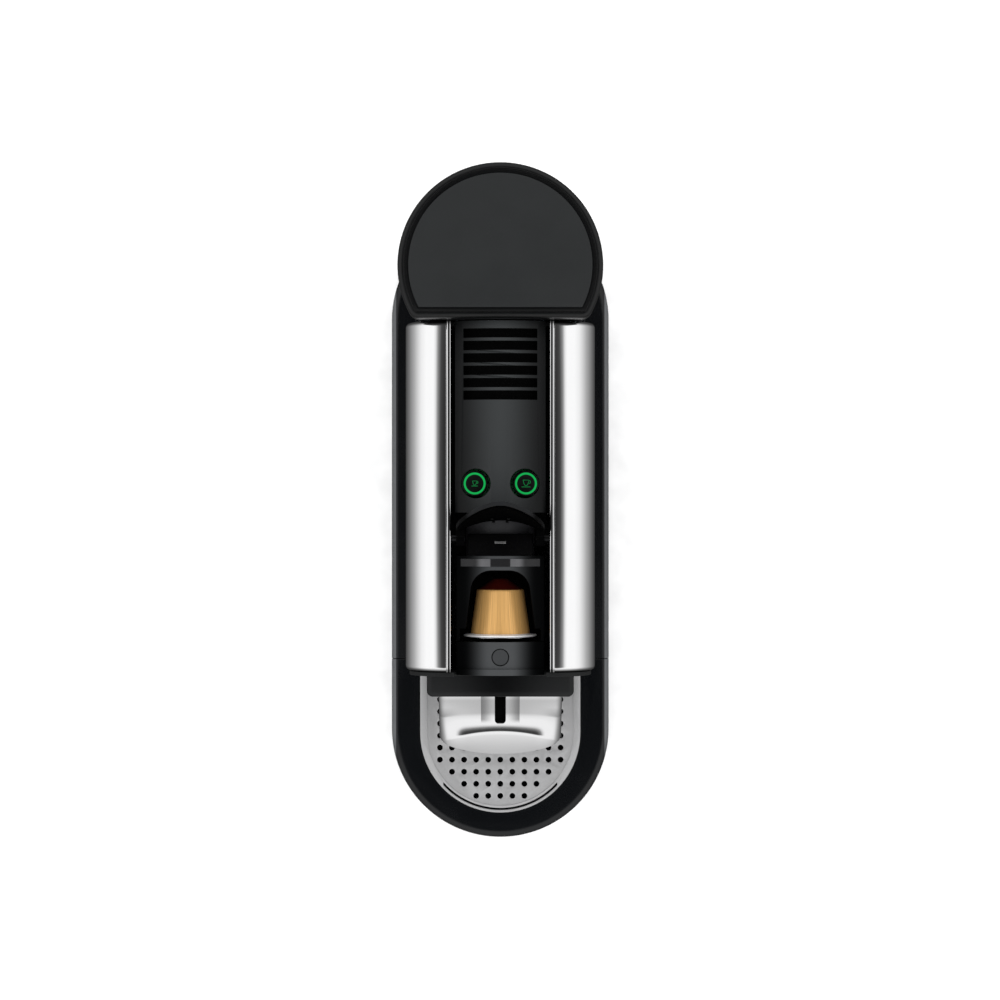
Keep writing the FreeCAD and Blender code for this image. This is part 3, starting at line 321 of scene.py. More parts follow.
DUST: Colour = (0.2, 0.2, 0.2)
PLASTIC_DRIFT = 0.12
PLATING_DRIFT = 0.015
GRAIN_ROUGHNESS = 0.06


@dataclass(frozen=True)
class Finish:
    """What every finish has: a name, a colour and a roughness."""

    name: str
    colour: Colour
    roughness: float

    def material(self) -> bpy.types.Material:
        """The finish's material, made once."""
        made = bpy.data.materials.get(self.name)
        if made is None:
            made = bpy.data.materials.new(self.name)
            made.use_nodes = True
            graph = ShaderGraph(made.node_tree)
            shader = self.shader(graph)
            graph.node("ShaderNodeOutputMaterial", inputs={"Surface": shader})
        return made

    def shader(self, graph: ShaderGraph) -> Signal:
        """The finish's surface.

        Args:
            graph: The graph to build in.

        Returns:
            The surface shader.
        """
        raise NotImplementedError

    def surface(self, graph: ShaderGraph, **values: object) -> Signal:
        """A Principled surface.

        Args:
            graph: The graph to build in.
            **values: Inputs of the Principled shader, with underscores for spaces.

        Returns:
            The shader.
        """
        inputs = {name.replace("_", " "): value for name, value in values.items()}
        return graph.signal("ShaderNodeBsdfPrincipled", inputs=inputs)

    def tinted(self, graph: ShaderGraph, spread: float, scale: float = 60.0) -> Signal:
        """The finish's colour with slow variation.

        Args:
            graph: The graph to build in.
            spread: How much lighter or darker it gets, as a share.
            scale: Patches per metre.

        Returns:
            The varied colour.
        """
        dark = tuple(part * (1.0 - spread) for part in self.colour)
        light = tuple(part * (1.0 + spread) for part in self.colour)
        return graph.blend(graph.noise(scale, 2.0), dark, light)


@dataclass(frozen=True)
class SatinPlastic(Finish):
    """Moulded plastic with a fine eroded grain, soft smudges and a little dust."""

    grain: float = 2600.0
    depth: float = 0.006 * MM
    smudge: float = 0.08
    specular: float = 0.5

    def shader(self, graph: ShaderGraph) -> Signal:
        """Grain in the normal, smudges in the roughness, and slight colour drift."""
        dust = graph.noise(5200.0, 1.0).rise(0.71, 0.8)
        return self.satin(graph, graph.blend(dust * 0.12, self.drifted(graph), DUST))

    def drifted(self, graph: ShaderGraph) -> Signal:
        """The plastic's colour, drifting slowly by its usual share.

        Args:
            graph: The graph to build in.

        Returns:
            The varied colour.
        """
        return self.tinted(graph, PLASTIC_DRIFT)

    def satin(self, graph: ShaderGraph, tint: Signal) -> Signal:
        """The plastic's grain and smudges under a colour.

        Args:
            graph: The graph to build in.
            tint: The colour.

        Returns:
            The surface shader.
        """
        grain = graph.noise(self.grain)
        smudges = graph.noise(24.0, 4.0).rise(0.42, 0.66)
        rough = self.roughness + smudges * self.smudge + grain * GRAIN_ROUGHNESS
        return self.surface(graph, Base_Color=tint, Roughness=rough, Specular_IOR_Level=self.specular,
                            Normal=graph.bump(grain, self.depth))


@dataclass(frozen=True)
class CrownedSatin(SatinPlastic):
    """Satin plastic of a crowned strip, with painted light along its middle: a tone blended in by distance
    from the crown's line, standing in for how light falls on the crown.
    """

    # painted light: the tone painted along the crown's middle; where it is darker than the plastic it is
    # painted shade
    worn: Colour = (0.05, 0.05, 0.052)
    half_width: float = 22.0 * MM
    plateau: float = 0.0

    def shader(self, graph: ShaderGraph) -> Signal:
        """The satin grain, with the painted middle tone blended in by distance from the crown's line."""
        across = abs(graph.axes()[0]).rise(self.half_width, self.half_width * self.plateau)
        # share of the painted middle tone, most at the crown's line
        rubbed = (across * across if self.plateau else across) * (0.92 + graph.noise(40.0) * 0.16)
        return self.satin(graph, graph.blend(rubbed, self.drifted(graph), self.worn))


@dataclass(frozen=True)
class LeverBlack(SatinPlastic):
    """Satin plastic with painted shade: it falls off to a dead black low down inside the raised lever."""

    # painted shade: the heights it spans and the dead black it falls to low inside the raised lever
    deep_z: tuple[float, float] = (296.0 * MM, 306.0 * MM)
    deep: Colour = (0.0002, 0.0002, 0.0003)
    deep_roughness: float = 0.5

    def shader(self, graph: ShaderGraph) -> Signal:
        """The satin grain, with painted shade low down: less sheen and colour."""
        # 1 high up, falling to 0 where the shade is painted low inside the lever
        high = graph.axes()[2].rise(*self.deep_z)
        grain = graph.noise(self.grain)
        tint = graph.blend(high, self.deep, self.drifted(graph))
        rough = self.roughness + (1.0 - high) * self.deep_roughness + grain * GRAIN_ROUGHNESS
        return self.surface(graph, Base_Color=tint, Roughness=rough, Specular_IOR_Level=self.specular,
                            Normal=graph.bump(grain, self.depth))


@dataclass(frozen=True)
class EdgedSatin(SatinPlastic):
    """Satin plastic with a painted paler sheen along its long outer edges, standing in for the light that
    their rounding catches.
    """

    # painted highlight: the paler colour painted on the long outer edges
    rubbed: Colour = (0.085, 0.088, 0.092)
    edge_x: float = 61.2 * MM
    edge_blur: float = 0.4 * MM
    fade_y: tuple[float, float] = (-150.0 * MM, -118.0 * MM)

    def shader(self, graph: ShaderGraph) -> Signal:
        """The satin grain, with the painted edge highlight blended in by distance from the middle."""
        x, y = graph.axes()[:2]
        # where the painted edge highlight lies, fading out towards the rounded front
        edge = abs(x).rise(self.edge_x, self.edge_x + self.edge_blur) * (0.85 + graph.noise(90.0) * 0.3)
        return self.satin(graph, graph.blend(edge * y.rise(*self.fade_y), self.drifted(graph), self.rubbed))


@dataclass(frozen=True)
class Chrome(Finish):
    """What every plated metal has: a slight waviness and wiped streaks."""

    wave: float = 0.01 * MM
    streak_roughness: float = 0.035

    def streaks(self, graph: ShaderGraph, place: Signal) -> Signal:
        """How much rougher the wiped streaks are.

        Args:
            graph: The graph to build in.
            place: The place, squeezed along the streaks.

        Returns:
            What the streaks add to the roughness.
        """
        return graph.noise(60.0, 4.0, place).rise(0.45, 0.75) * self.streak_roughness

    def plating(self, graph: ShaderGraph, tint: Signal, rough: Signal) -> Signal:
        """The plated surface under a colour.

        Args:
            graph: The graph to build in.
            tint: The colour.
            rough: The roughness.

        Returns:
            The surface shader.
        """
        return self.surface(graph, Base_Color=tint, Metallic=1.0, Roughness=rough,
                            Normal=graph.bump(graph.noise(26.0, 1.0), self.wave))


@dataclass(frozen=True)
class PanelChrome(Chrome):
    """Plated metal with painted shade where a panel rolls over at its two ends."""

    front_y: float = -69.8 * MM
    rear_y: float = 106.7 * MM
    roll: float = 2.2 * MM
    # painted shade at the rolled ends: its dark colour and how much of it is laid on
    dull: Colour = (0.1, 0.1, 0.1)
    dulling: float = 0.8

    def shader(self, graph: ShaderGraph) -> Signal:
        """The plating's waves and streaks, with painted shade towards both ends."""
        x, y, z = graph.axes()
        start, end = self.roll, self.roll * 0.3
        # where the painted shade lies, near both ends
        ends = (y.rise(self.front_y + start, self.front_y + end)
                + y.rise(self.rear_y - start, self.rear_y - end))
        rough = self.roughness + self.streaks(graph, graph.vector(x * 6.0, y, z * 6.0))
        tint = graph.blend(ends * self.dulling, self.tinted(graph, PLATING_DRIFT), self.dull)
        return self.plating(graph, tint, rough)


@dataclass(frozen=True)
class HoodChrome(Chrome):
    """Plated metal with a channel down its middle, beside the slot, whose sides get painted shade and a
    little more roughness.
    """

    channel: float = 10.7 * MM
    edge: float = 0.15 * MM
    slot: float = 3.0 * MM
    foot_y: float = -107.5 * MM
    foot_fade: float = 3.0 * MM
    shade: float = 0.42

    def shader(self, graph: ShaderGraph) -> Signal:
        """The plating's streaks and waves, with painted shade on the channel's sides."""
        x, y, z = graph.axes()
        aside = abs(x)
        channel = (aside.rise(self.channel + self.edge, self.channel - self.edge)
                   * y.rise(self.foot_y, self.foot_y + self.foot_fade))
        # painted shade on the channel's sides, most at its outer edges
        dull = channel * aside.rise(self.slot, self.channel)
        rough = self.roughness + self.streaks(graph, graph.vector(x * 6.0, y, z)) + dull * 0.1
        shaded = tuple(part * self.shade for part in self.colour)
        tint = graph.blend(dull, self.tinted(graph, PLATING_DRIFT), shaded)
        return self.plating(graph, tint, rough)


@dataclass(frozen=True)
class SatinSteel(Finish):
    """Blasted or brushed stainless steel.

    The lines run along X where brushed, and the surface is even where it isn't.
    """

    brushed: float = 0.0
    depth: float = 0.008 * MM
    metal: float = 1.0

    def shader(self, graph: ShaderGraph) -> Signal:
        """Fine tooth in the normal and roughness, with faint water marks."""
        x, y, z = graph.axes()
        tooth = graph.noise(2400.0, 2.0, graph.vector(x * (1.0 - 0.97 * self.brushed), y, z))
        marks = graph.noise(70.0, 4.0).rise(0.5, 0.62)
        rough = self.roughness + tooth * 0.12 - marks * 0.05
        return self.surface(graph, Base_Color=self.tinted(graph, 0.06, 900.0), Metallic=self.metal,
                            Roughness=rough, Normal=graph.bump(tooth, self.depth))


@dataclass(frozen=True)
class PodAluminium(Finish):
    """Lacquered aluminium drawn along the pod's axis, with painted shade on its tip and a bare rim."""

    axis_height: float = 0.241
    tip_y: float = -0.0291
    rim_y: float = -0.0512
    # painted shade: the gold darkened to a dark red on the tip
    tip_colour: Colour = (0.055, 0.004, 0.002)
    bare: Colour = (0.85, 0.85, 0.85)
    blur: float = 0.3 * MM

    def shader(self, graph: ShaderGraph) -> Signal:
        """Draw lines along the axis, the tip's painted shade and the bare rim."""
        x, y, z = graph.axes()
        aside = {0: x, 1: z - self.axis_height}
        around = graph.signal("ShaderNodeMath", {"operation": "ARCTAN2"}, aside)
        lines = graph.noise(1.0, 5.0, graph.vector(around * 24.0, y * 30.0, 0.0))
        tint = graph.blend(lines.rise(0.3, 0.7), tuple(part * 0.72 for part in self.colour), self.colour)
        # painted shade on the tip
        tint = graph.blend(y.rise(self.tip_y, self.tip_y + self.blur), tint, self.tip_colour)
        tint = graph.blend(y.rise(self.rim_y, self.rim_y - self.blur), tint, self.bare)
        rough = self.roughness + lines * 0.14
        return self.surface(graph, Base_Color=tint, Metallic=0.45, Roughness=rough,
                            Normal=graph.bump(lines, 0.03 * MM))


@dataclass(frozen=True)
class BandedStrip(Finish):
    """Dark glossy strip with two paler bands, one each side of its middle."""

    pale: Colour = (0.1, 0.1, 0.105)
    inner: float = 5.0 * MM
    outer: float = 13.0 * MM
    inner_blur: float = 0.2 * MM
    outer_blur: float = 4.0 * MM

    def shader(self, graph: ShaderGraph) -> Signal:
        """Bands by distance from the middle, soft at their outer ends."""
        aside = abs(graph.axes()[0])
        bands = (aside.rise(self.inner - self.inner_blur, self.inner + self.inner_blur)
                 * aside.rise(self.outer, self.outer - self.outer_blur))
        grain = graph.noise(1800.0)
        tint = graph.blend(bands, self.tinted(graph, 0.2), self.pale)
        return self.surface(graph, Base_Color=tint, Metallic=0.3, Roughness=self.roughness + grain * 0.15,
                            Normal=graph.bump(grain, 0.01 * MM))


@dataclass(frozen=True)
class SmokedClear(Finish):
    """Clear smoke-tinted plastic of the tank, with faint flow marks."""

    def shader(self, graph: ShaderGraph) -> Signal:
        """A transmitting surface with light scuffs."""
        scuffs = graph.noise(140.0, 5.0).rise(0.58, 0.72)
        rough = self.roughness + scuffs * 0.08
        return self.surface(graph, Base_Color=self.tinted(graph, 0.05), Roughness=rough,
                            Transmission_Weight=0.92, IOR=1.49,
                            Normal=graph.bump(graph.noise(30.0, 1.0), 0.02 * MM))


@dataclass(frozen=True)
class LitGreen(Finish):
    """Green light guide, lit from behind."""

    strength: float = 1.0
    unlit: Colour = (0.002, 0.02, 0.008)

    def shader(self, graph: ShaderGraph) -> Signal:
        """An even green glow with a slow unevenness."""
        dim = tuple(part * 0.8 for part in self.colour)
        glow = graph.blend(graph.noise(160.0, 2.0), dim, self.colour)
        rough = self.roughness + graph.noise(900.0) * 0.1
        return self.surface(graph, Base_Color=self.unlit, Roughness=rough, Specular_IOR_Level=0.1,
                            Emission_Color=glow, Emission_Strength=self.strength)


@dataclass(frozen=True)
class SoftRubber(Finish):
    """Rubber or silicone with a chalky bloom."""

    def shader(self, graph: ShaderGraph) -> Signal:
        """A matte surface with fine pores and bloom."""
        pores = graph.noise(3400.0, 2.0)
        bloom = graph.noise(120.0, 4.0).rise(0.5, 0.7)
        light = tuple(min(1.0, part * 1.6 + 0.01) for part in self.colour)
        return self.surface(graph, Base_Color=graph.blend(bloom * 0.6, self.colour, light),
                            Roughness=self.roughness + pores * 0.1, Normal=graph.bump(pores, 0.02 * MM))


@dataclass(frozen=True)
class WoundCopper(Finish):
    """Lacquered winding: fine turns around the pump."""

    def shader(self, graph: ShaderGraph) -> Signal:
        """Turns as waves along Y."""
        along = graph.axes()[1]
        turns = graph.signal("ShaderNodeMath", {"operation": "SINE"}, {0: along * 9000.0})
        drift = graph.noise(300.0, 2.0)
        return self.surface(graph, Base_Color=self.tinted(graph, 0.25, 400.0), Metallic=0.6,
                            Roughness=self.roughness + drift * 0.15, Normal=graph.bump(turns, 0.05 * MM))


# ---------------------------------------------------------------------------------------------
# modelling bench
# ---------------------------------------------------------------------------------------------

class Bench:
    """Modelling steps with Blender's own operators."""

    @staticmethod
    def clear() -> None:
        """Leave edit mode and deselect everything."""
        if bpy.context.object and bpy.context.object.mode != "OBJECT":
            bpy.ops.object.mode_set(mode="OBJECT")
        bpy.ops.object.select_all(action="DESELECT")

    @staticmethod
    def choose(piece: bpy.types.Object) -> None:
        """Make one object the only selected and active one.

        Args:
            piece: The object.
        """
        Bench.clear()
        piece.select_set(True)
        bpy.context.view_layer.objects.active = piece

    @staticmethod
    def edit(piece: bpy.types.Object) -> None:
        """Enter edit mode with nothing selected.

        Args:
            piece: The object to edit.
        """
        Bench.choose(piece)
        bpy.ops.object.mode_set(mode="EDIT")
        bpy.ops.mesh.select_mode(type="VERT")
        bpy.ops.mesh.select_all(action="DESELECT")

    @staticmethod
    def done() -> None:
        """Leave edit mode."""
        bpy.ops.object.mode_set(mode="OBJECT")

    @staticmethod
    def pick(piece: bpy.types.Object, kind: str, wanted: Callable[[Vector], bool],
             middle: Callable[[Vector], bool] | None = None) -> None:
        """In edit mode, select the vertices, edges or faces whose every corner is wanted.

        Args:
            piece: The object in edit mode.
            kind: VERT, EDGE or FACE.
            wanted: Test of a corner's place.
            middle: A further test, of the middle of an edge or face.
        """
        bpy.ops.mesh.select_mode(type=kind)
        bpy.ops.mesh.select_all(action="DESELECT")
        bpy.ops.object.mode_set(mode="OBJECT")
        mesh = piece.data
        inside = [wanted(vertex.co) for vertex in mesh.vertices]
        if kind == "VERT":
            for vertex, state in zip(mesh.vertices, inside):
                vertex.select = state
        for item in {"EDGE": mesh.edges, "FACE": mesh.polygons}.get(kind, ()):
            chosen = all(inside[number] for number in item.vertices)
            if chosen and middle:
                places = [mesh.vertices[number].co for number in item.vertices]
                chosen = middle(sum(places, Vector()) / len(places))
            item.select = chosen
        bpy.ops.object.mode_set(mode="EDIT")

    @staticmethod
    def cube(name: str, low: Sequence[float], high: Sequence[float]) -> bpy.types.Object:
        """A box between two corners, its place in its mesh.

        Args:
            name: The piece's name.
            low: Lowest corner.
            high: Highest corner.

        Returns:
            The new object.
        """
        Bench.clear()
        middle = [(a + b) / 2 for a, b in zip(low, high)]
        size = [b - a for a, b in zip(low, high)]
        bpy.ops.mesh.primitive_cube_add(size=1.0, location=middle, scale=size)
        piece = bpy.context.object
        piece.name = piece.data.name = name
        Bench.settle(piece)
        return piece

    @staticmethod
    def settle(piece: bpy.types.Object) -> None:
        """Move an object's place, turn and size into its mesh.

        Args:
            piece: The object.
        """
        Bench.choose(piece)
        bpy.ops.object.transform_apply(location=True, rotation=True, scale=True)

    @staticmethod
    def line(name: str, points: Sequence[Vector]) -> bpy.types.Object:
        """A chain of edges through points, drawn by extruding a vertex. It is left in edit mode.

        Args:
            name: The piece's name.
            points: The corners in order.

        Returns:
            The new object, with its last vertex selected.
        """
        Bench.clear()
        bpy.ops.mesh.primitive_plane_add(size=MM, location=points[0])
        piece = bpy.context.object
        piece.name = piece.data.name = name
        Bench.settle(piece)
        Bench.edit(piece)
        bpy.ops.mesh.select_all(action="SELECT")
        bpy.ops.mesh.merge(type="CENTER")
        for start, end in zip(points, points[1:]):
            Bench.extrude(Vector(end) - Vector(start))
        return piece

    @staticmethod
    def extrude(step: Sequence[float]) -> None:
        """Extrude what is selected.

        Args:
            step: How far, on each axis.
        """
        bpy.ops.mesh.extrude_region_move(TRANSFORM_OT_translate={"value": tuple(step)})

    @staticmethod
    def modify(piece: bpy.types.Object, kind: str, **settings: object) -> None:
        """Add a modifier and apply it.

        Args:
            piece: The object.
            kind: The modifier's type.
            **settings: Properties of the modifier.
        """
        Bench.choose(piece)
        modifier = piece.modifiers.new(kind.title(), kind)
        for name, value in settings.items():
            setattr(modifier, name, value)
        bpy.ops.object.modifier_apply(modifier=modifier.name)

    @staticmethod
    def soften(piece: bpy.types.Object, width: float, segments: int = 3, angle: float = 30.0) -> None:
        """Round the sharp edges and shade the rest smooth.

        Args:
            piece: The object.
            width: Width of the rounding, or 0 for none.
            segments: Steps across the rounding.
            angle: Edges sharper than this many degrees are rounded.
        """
        if width > 0.0:
            Bench.modify(piece, "BEVEL", width=width, segments=segments, limit_method="ANGLE",
                         angle_limit=math.radians(angle), harden_normals=False, miter_outer="MITER_ARC")
        Bench.choose(piece)
        bpy.ops.object.shade_smooth_by_angle(angle=math.radians(40.0))

    @staticmethod
    def tidy(piece: bpy.types.Object) -> None:
        """Merge doubles and point the normals outwards.

        Args:
            piece: The object.
        """
        Bench.edit(piece)
        bpy.ops.mesh.select_all(action="SELECT")
        bpy.ops.mesh.remove_doubles(threshold=0.002 * MM)
        bpy.ops.mesh.normals_make_consistent(inside=False)
        Bench.done()

    @staticmethod
    def face_up(piece: bpy.types.Object) -> None:
        """Flip an open sheet if most of it faces down.

        Args:
            piece: The sheet.
        """
        if sum(face.normal.z * face.area for face in piece.data.polygons) < 0.0:
            Bench.edit(piece)
            bpy.ops.mesh.select_all(action="SELECT")
            bpy.ops.mesh.flip_normals()
            Bench.done()

    @staticmethod
    def join(name: str, pieces: Sequence[bpy.types.Object]) -> bpy.types.Object:
        """Join objects into one mesh.

        Args:
            name: The joined piece's name.
            pieces: The objects.

        Returns:
            The joined object.
        """
        Bench.choose(pieces[0])
        for piece in pieces:
            piece.select_set(True)
        bpy.ops.object.join()
        joined = bpy.context.object
        joined.name = joined.data.name = name
        return joined

    @staticmethod
    def wire(name: str, points: Sequence[Vector], radius: float) -> bpy.types.Object:
        """A round bar along a chain of points.

        Args:
            name: The piece's name.
            points: The bar's centre line.
            radius: The bar's radius.

        Returns:
            The bar as a mesh.
        """
        piece = Bench.line(name, points)
        Bench.done()
        Bench.choose(piece)
        bpy.ops.object.convert(target="CURVE")
        curve = bpy.context.object
        curve.data.bevel_depth = radius
        curve.data.bevel_resolution = 2
        curve.data.use_fill_caps = True
        bpy.ops.object.convert(target="MESH")
        bar = bpy.context.object
        bar.name = bar.data.name = name
        return bar


def arc(centre: Sequence[float], radius: float, start: float, end: float,
        steps: int) -> list[tuple[float, float]]:
    """Points along a circle.

    Args:
        centre: The circle's middle.
        radius: Its radius.
        start: First angle in degrees.
        end: Last angle in degrees.
        steps: Number of steps between them.

    Returns:
        The points in order.
    """
    angles = [math.radians(start + (end - start) * step / steps) for step in range(steps + 1)]
    return [(centre[0] + radius * math.cos(a), centre[1] + radius * math.sin(a)) for a in angles]


# ---------------------------------------------------------------------------------------------
# sub-assemblies
# ---------------------------------------------------------------------------------------------

class Assembly:
    """Common work of a sub-assembly: placing, dressing and reporting pieces."""

    title = "assembly"

    def place(self, piece: bpy.types.Object, finish: Finish, *nodes: str) -> bpy.types.Object:
        """Dress a new piece, ride it on its node's body and let it stand for its nodes.

        Args:
            piece: The new piece.
            finish: Its finish.
            *nodes: CAD nodes that it replaces; the first gives its body.

        Returns:
            The piece.
        """
        self.dress(piece, finish)
        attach(piece, NODES[nodes[0]]["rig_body"])
        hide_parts(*nodes)
        log.info("%s: %s stands for %s", self.title, piece.name, ", ".join(nodes))
        return piece

    def add(self, piece: bpy.types.Object, finish: Finish, node: str) -> bpy.types.Object:
        """Dress a new piece that replaces nothing and rides with a node.

        Args:
            piece: The new piece.
            finish: Its finish.
            node: The CAD node whose body it takes.

        Returns:
            The piece.
        """
        self.dress(piece, finish)
        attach(piece, NODES[node]["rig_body"])
        log.info("%s: %s rides with %s", self.title, piece.name, node)
        return piece

    def keep(self, node: str, finish: Finish) -> None:
        """Dress a CAD node that stays as it is.

        Args:
            node: The node.
            finish: Its finish.
        """
        self.dress(NODES[node], finish)
        log.info("%s: %s kept with %s", self.title, node, finish.name)

    @staticmethod
    def twin(node: str) -> bpy.types.Object:
        """A free copy of a CAD node.

        Args:
            node: The CAD node.

        Returns:
            The copy.
        """
        Bench.choose(NODES[node])
        bpy.ops.object.duplicate()
        copy = bpy.context.object
        copy.parent = None
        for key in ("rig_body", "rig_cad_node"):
            if key in copy:
                del copy[key]
        return copy

    def soft_copy(self, node: str, finish: Finish, width: float) -> bpy.types.Object:
        """Replace a CAD node by a merged copy with rounded edges and smooth shading.

        Args:
            node: The CAD node.
            finish: The copy's finish.
            width: Width of the rounding, in metres.

        Returns:
            The copy.
        """
        copy = self.twin(node)
        copy.name = copy.data.name = f"{node}_soft"
        Bench.edit(copy)
        bpy.ops.mesh.customdata_custom_splitnormals_clear()
        bpy.ops.mesh.select_all(action="SELECT")
        bpy.ops.mesh.remove_doubles(threshold=0.004 * MM)
        bpy.ops.mesh.dissolve_limited(angle_limit=math.radians(0.3), use_dissolve_boundaries=False)
        Bench.done()
        Bench.soften(copy, width)
        return self.place(copy, finish, node)

    @staticmethod
    def dress(piece: bpy.types.Object, finish: Finish) -> None:
        """Give a piece one finish all over.

        Args:
            piece: The piece.
            finish: The finish.
        """
        piece.data.materials.clear()
        piece.data.materials.append(finish.material())


@dataclass
class Base(Assembly):
    """Rear base shell with its plate, feet and cord inlet."""

    title = "base"
    # painted highlight: the base's long outer edges are painted paler
    black: Finish = EdgedSatin("base black", (0.0014, 0.0018, 0.0024), 0.22, smudge=0.03, specular=0.35)
    under: Finish = SatinPlastic("underside black", (0.02, 0.02, 0.021), 0.6)
    rubber: Finish = SoftRubber("foot rubber", (0.02, 0.02, 0.02), 0.75)
    steel: Finish = SatinSteel("screw steel", (0.5, 0.5, 0.5), 0.35)

    def build(self) -> None:
        """Make the base's pieces."""
        self.soft_copy("base_housing", self.black, 0.35 * MM)
        self.soft_copy("tank_dock", self.black, 0.4 * MM)
        self.keep("base_plate", self.under)
        self.soft_copy("base_feet", self.rubber, 0.5 * MM)
        self.soft_copy("cord_inlet", self.rubber, 0.5 * MM)
        self.keep("base_screws", self.steel)


@dataclass
class DripUnit(Assembly):
    """Drip tray, its perforated grid and the bin for used pods."""

    title = "drip unit"
    # painted highlight: the tray's long outer edges are painted paler
    black: Finish = EdgedSatin("tray black", (0.0014, 0.0018, 0.0024), 0.22, smudge=0.03, specular=0.35)
    bin_black: Finish = SatinPlastic("bin black", (0.02, 0.02, 0.021), 0.42)
    steel: Finish = SatinSteel("grid steel", (0.52, 0.52, 0.525), 0.46, metal=0.75)
    rubber: Finish = SoftRubber("tray foot rubber", (0.02, 0.02, 0.02), 0.75)

    def build(self) -> None:
        """Make the drip unit's pieces."""
        self.soft_copy("drip_tray", self.black, 0.35 * MM)
        self.soft_copy("drip_tray_feet", self.rubber, 0.5 * MM)
        self.soft_copy("drip_grid", self.steel, 0.3 * MM)
        self.soft_copy("capsule_container", self.bin_black, 0.6 * MM)


@dataclass
class ChromeSides(Assembly):
    """Chrome side panels that turn over the shoulders, and their slim rails."""

    title = "chrome sides"
    chrome: Finish = PanelChrome("side chrome", (0.9, 0.9, 0.905), 0.045)
    shoulder_radius: float = 21.0 * MM
    shoulder_steps: int = 40
    roll_steps: int = 6
    wall: float = 1.5 * MM
    end_roll: float = 2.4 * MM
    rim: float = 0.45 * MM

    def build(self) -> None:
        """Make both panels and rails."""
        for side in Side:
            node = f"{side.word}_side_panel"
            self.place(self.panel(side, node), self.chrome, node)
            self.soft_copy(f"{side.word}_trim_rail", self.chrome, 0.0)

    def panel(self, side: Side, node: str) -> bpy.types.Object:
        """One panel: a box rounded at the shoulder, rolled at its ends, opened and given its wall.

        Args:
            side: Which side.
            node: The CAD node it follows.

        Returns:
            The panel.
        """
        low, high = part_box(node)
        outer_x, inner_x = (high.x, low.x) if side is Side.RIGHT else (low.x, high.x)
        piece = Bench.cube(f"{side.word}_panel_shell", low, high)
        Bench.edit(piece)
        Bench.pick(piece, "EDGE", lambda co: abs(co.x - outer_x) < TINY and abs(co.z - high.z) < TINY)
        bpy.ops.mesh.bevel(offset=self.shoulder_radius - TINY / 4, offset_type="OFFSET",
                           segments=self.shoulder_steps, profile=0.5)
        for end in (low.y, high.y):
            Bench.pick(piece, "EDGE", lambda co: abs(co.y - end) < TINY,
                       lambda co: abs(co.x - inner_x) > TINY and abs(co.z - low.z) > TINY)
            bpy.ops.mesh.bevel(offset=self.end_roll, offset_type="OFFSET", segments=self.roll_steps,
                               profile=0.5)
        for wanted in (lambda co: abs(co.z - low.z) < TINY, lambda co: abs(co.x - inner_x) < TINY,
                       lambda co: abs(co.y - low.y) < TINY, lambda co: abs(co.y - high.y) < TINY):
            Bench.pick(piece, "FACE", wanted)
            bpy.ops.mesh.delete(type="ONLY_FACE")
        bpy.ops.mesh.select_all(action="SELECT")
        bpy.ops.mesh.delete_loose(use_verts=True, use_edges=True, use_faces=False)
        Bench.done()
        Bench.tidy(piece)
        Bench.modify(piece, "SOLIDIFY", thickness=self.wall, offset=-1.0, use_even_offset=True)
        Bench.soften(piece, self.rim, 3, 50.0)
        return piece


@dataclass
class TopStrip(Assembly):
    """Crowned cover with its vents, the plates that close the head, and the front cover."""

    title = "top strip"
    # painted light: the cover and the front cover are painted lighter along their middles
    crowned: Finish = CrownedSatin("cover black", (0.002, 0.0022, 0.0024), 0.36, specular=0.14,
                                   worn=(0.026, 0.028, 0.029))
    front: Finish = CrownedSatin("front cover black", (0.0004, 0.0005, 0.0006), 0.4, specular=0.02,
                                 half_width=20.5 * MM, plateau=0.25, worn=(0.045, 0.047, 0.049))
    plug: Finish = SatinPlastic("plug black", (0.032, 0.0335, 0.035), 0.5, specular=0.05)
    black: Finish = SatinPlastic("head black", (0.006, 0.0063, 0.0066), 0.42, specular=0.2)
    # painted shade: the liner behind the vents is near black for the shade inside them
    dark: Finish = SatinPlastic("liner black", (0.0008, 0.0008, 0.0008), 0.8, specular=0.05)

    def build(self) -> None:
        """Make the cover and the closing plates."""
        self.soft_copy("top_cover", self.crowned, 0.35 * MM)
        self.keep("vent_liner", self.dark)
        self.soft_copy("front_panel", self.black, 0.5 * MM)
        self.soft_copy("rear_panel", self.black, 0.5 * MM)
        self.soft_copy("front_cover", self.front, 0.35 * MM)
        self.soft_copy("front_plug", self.plug, 0.3 * MM)


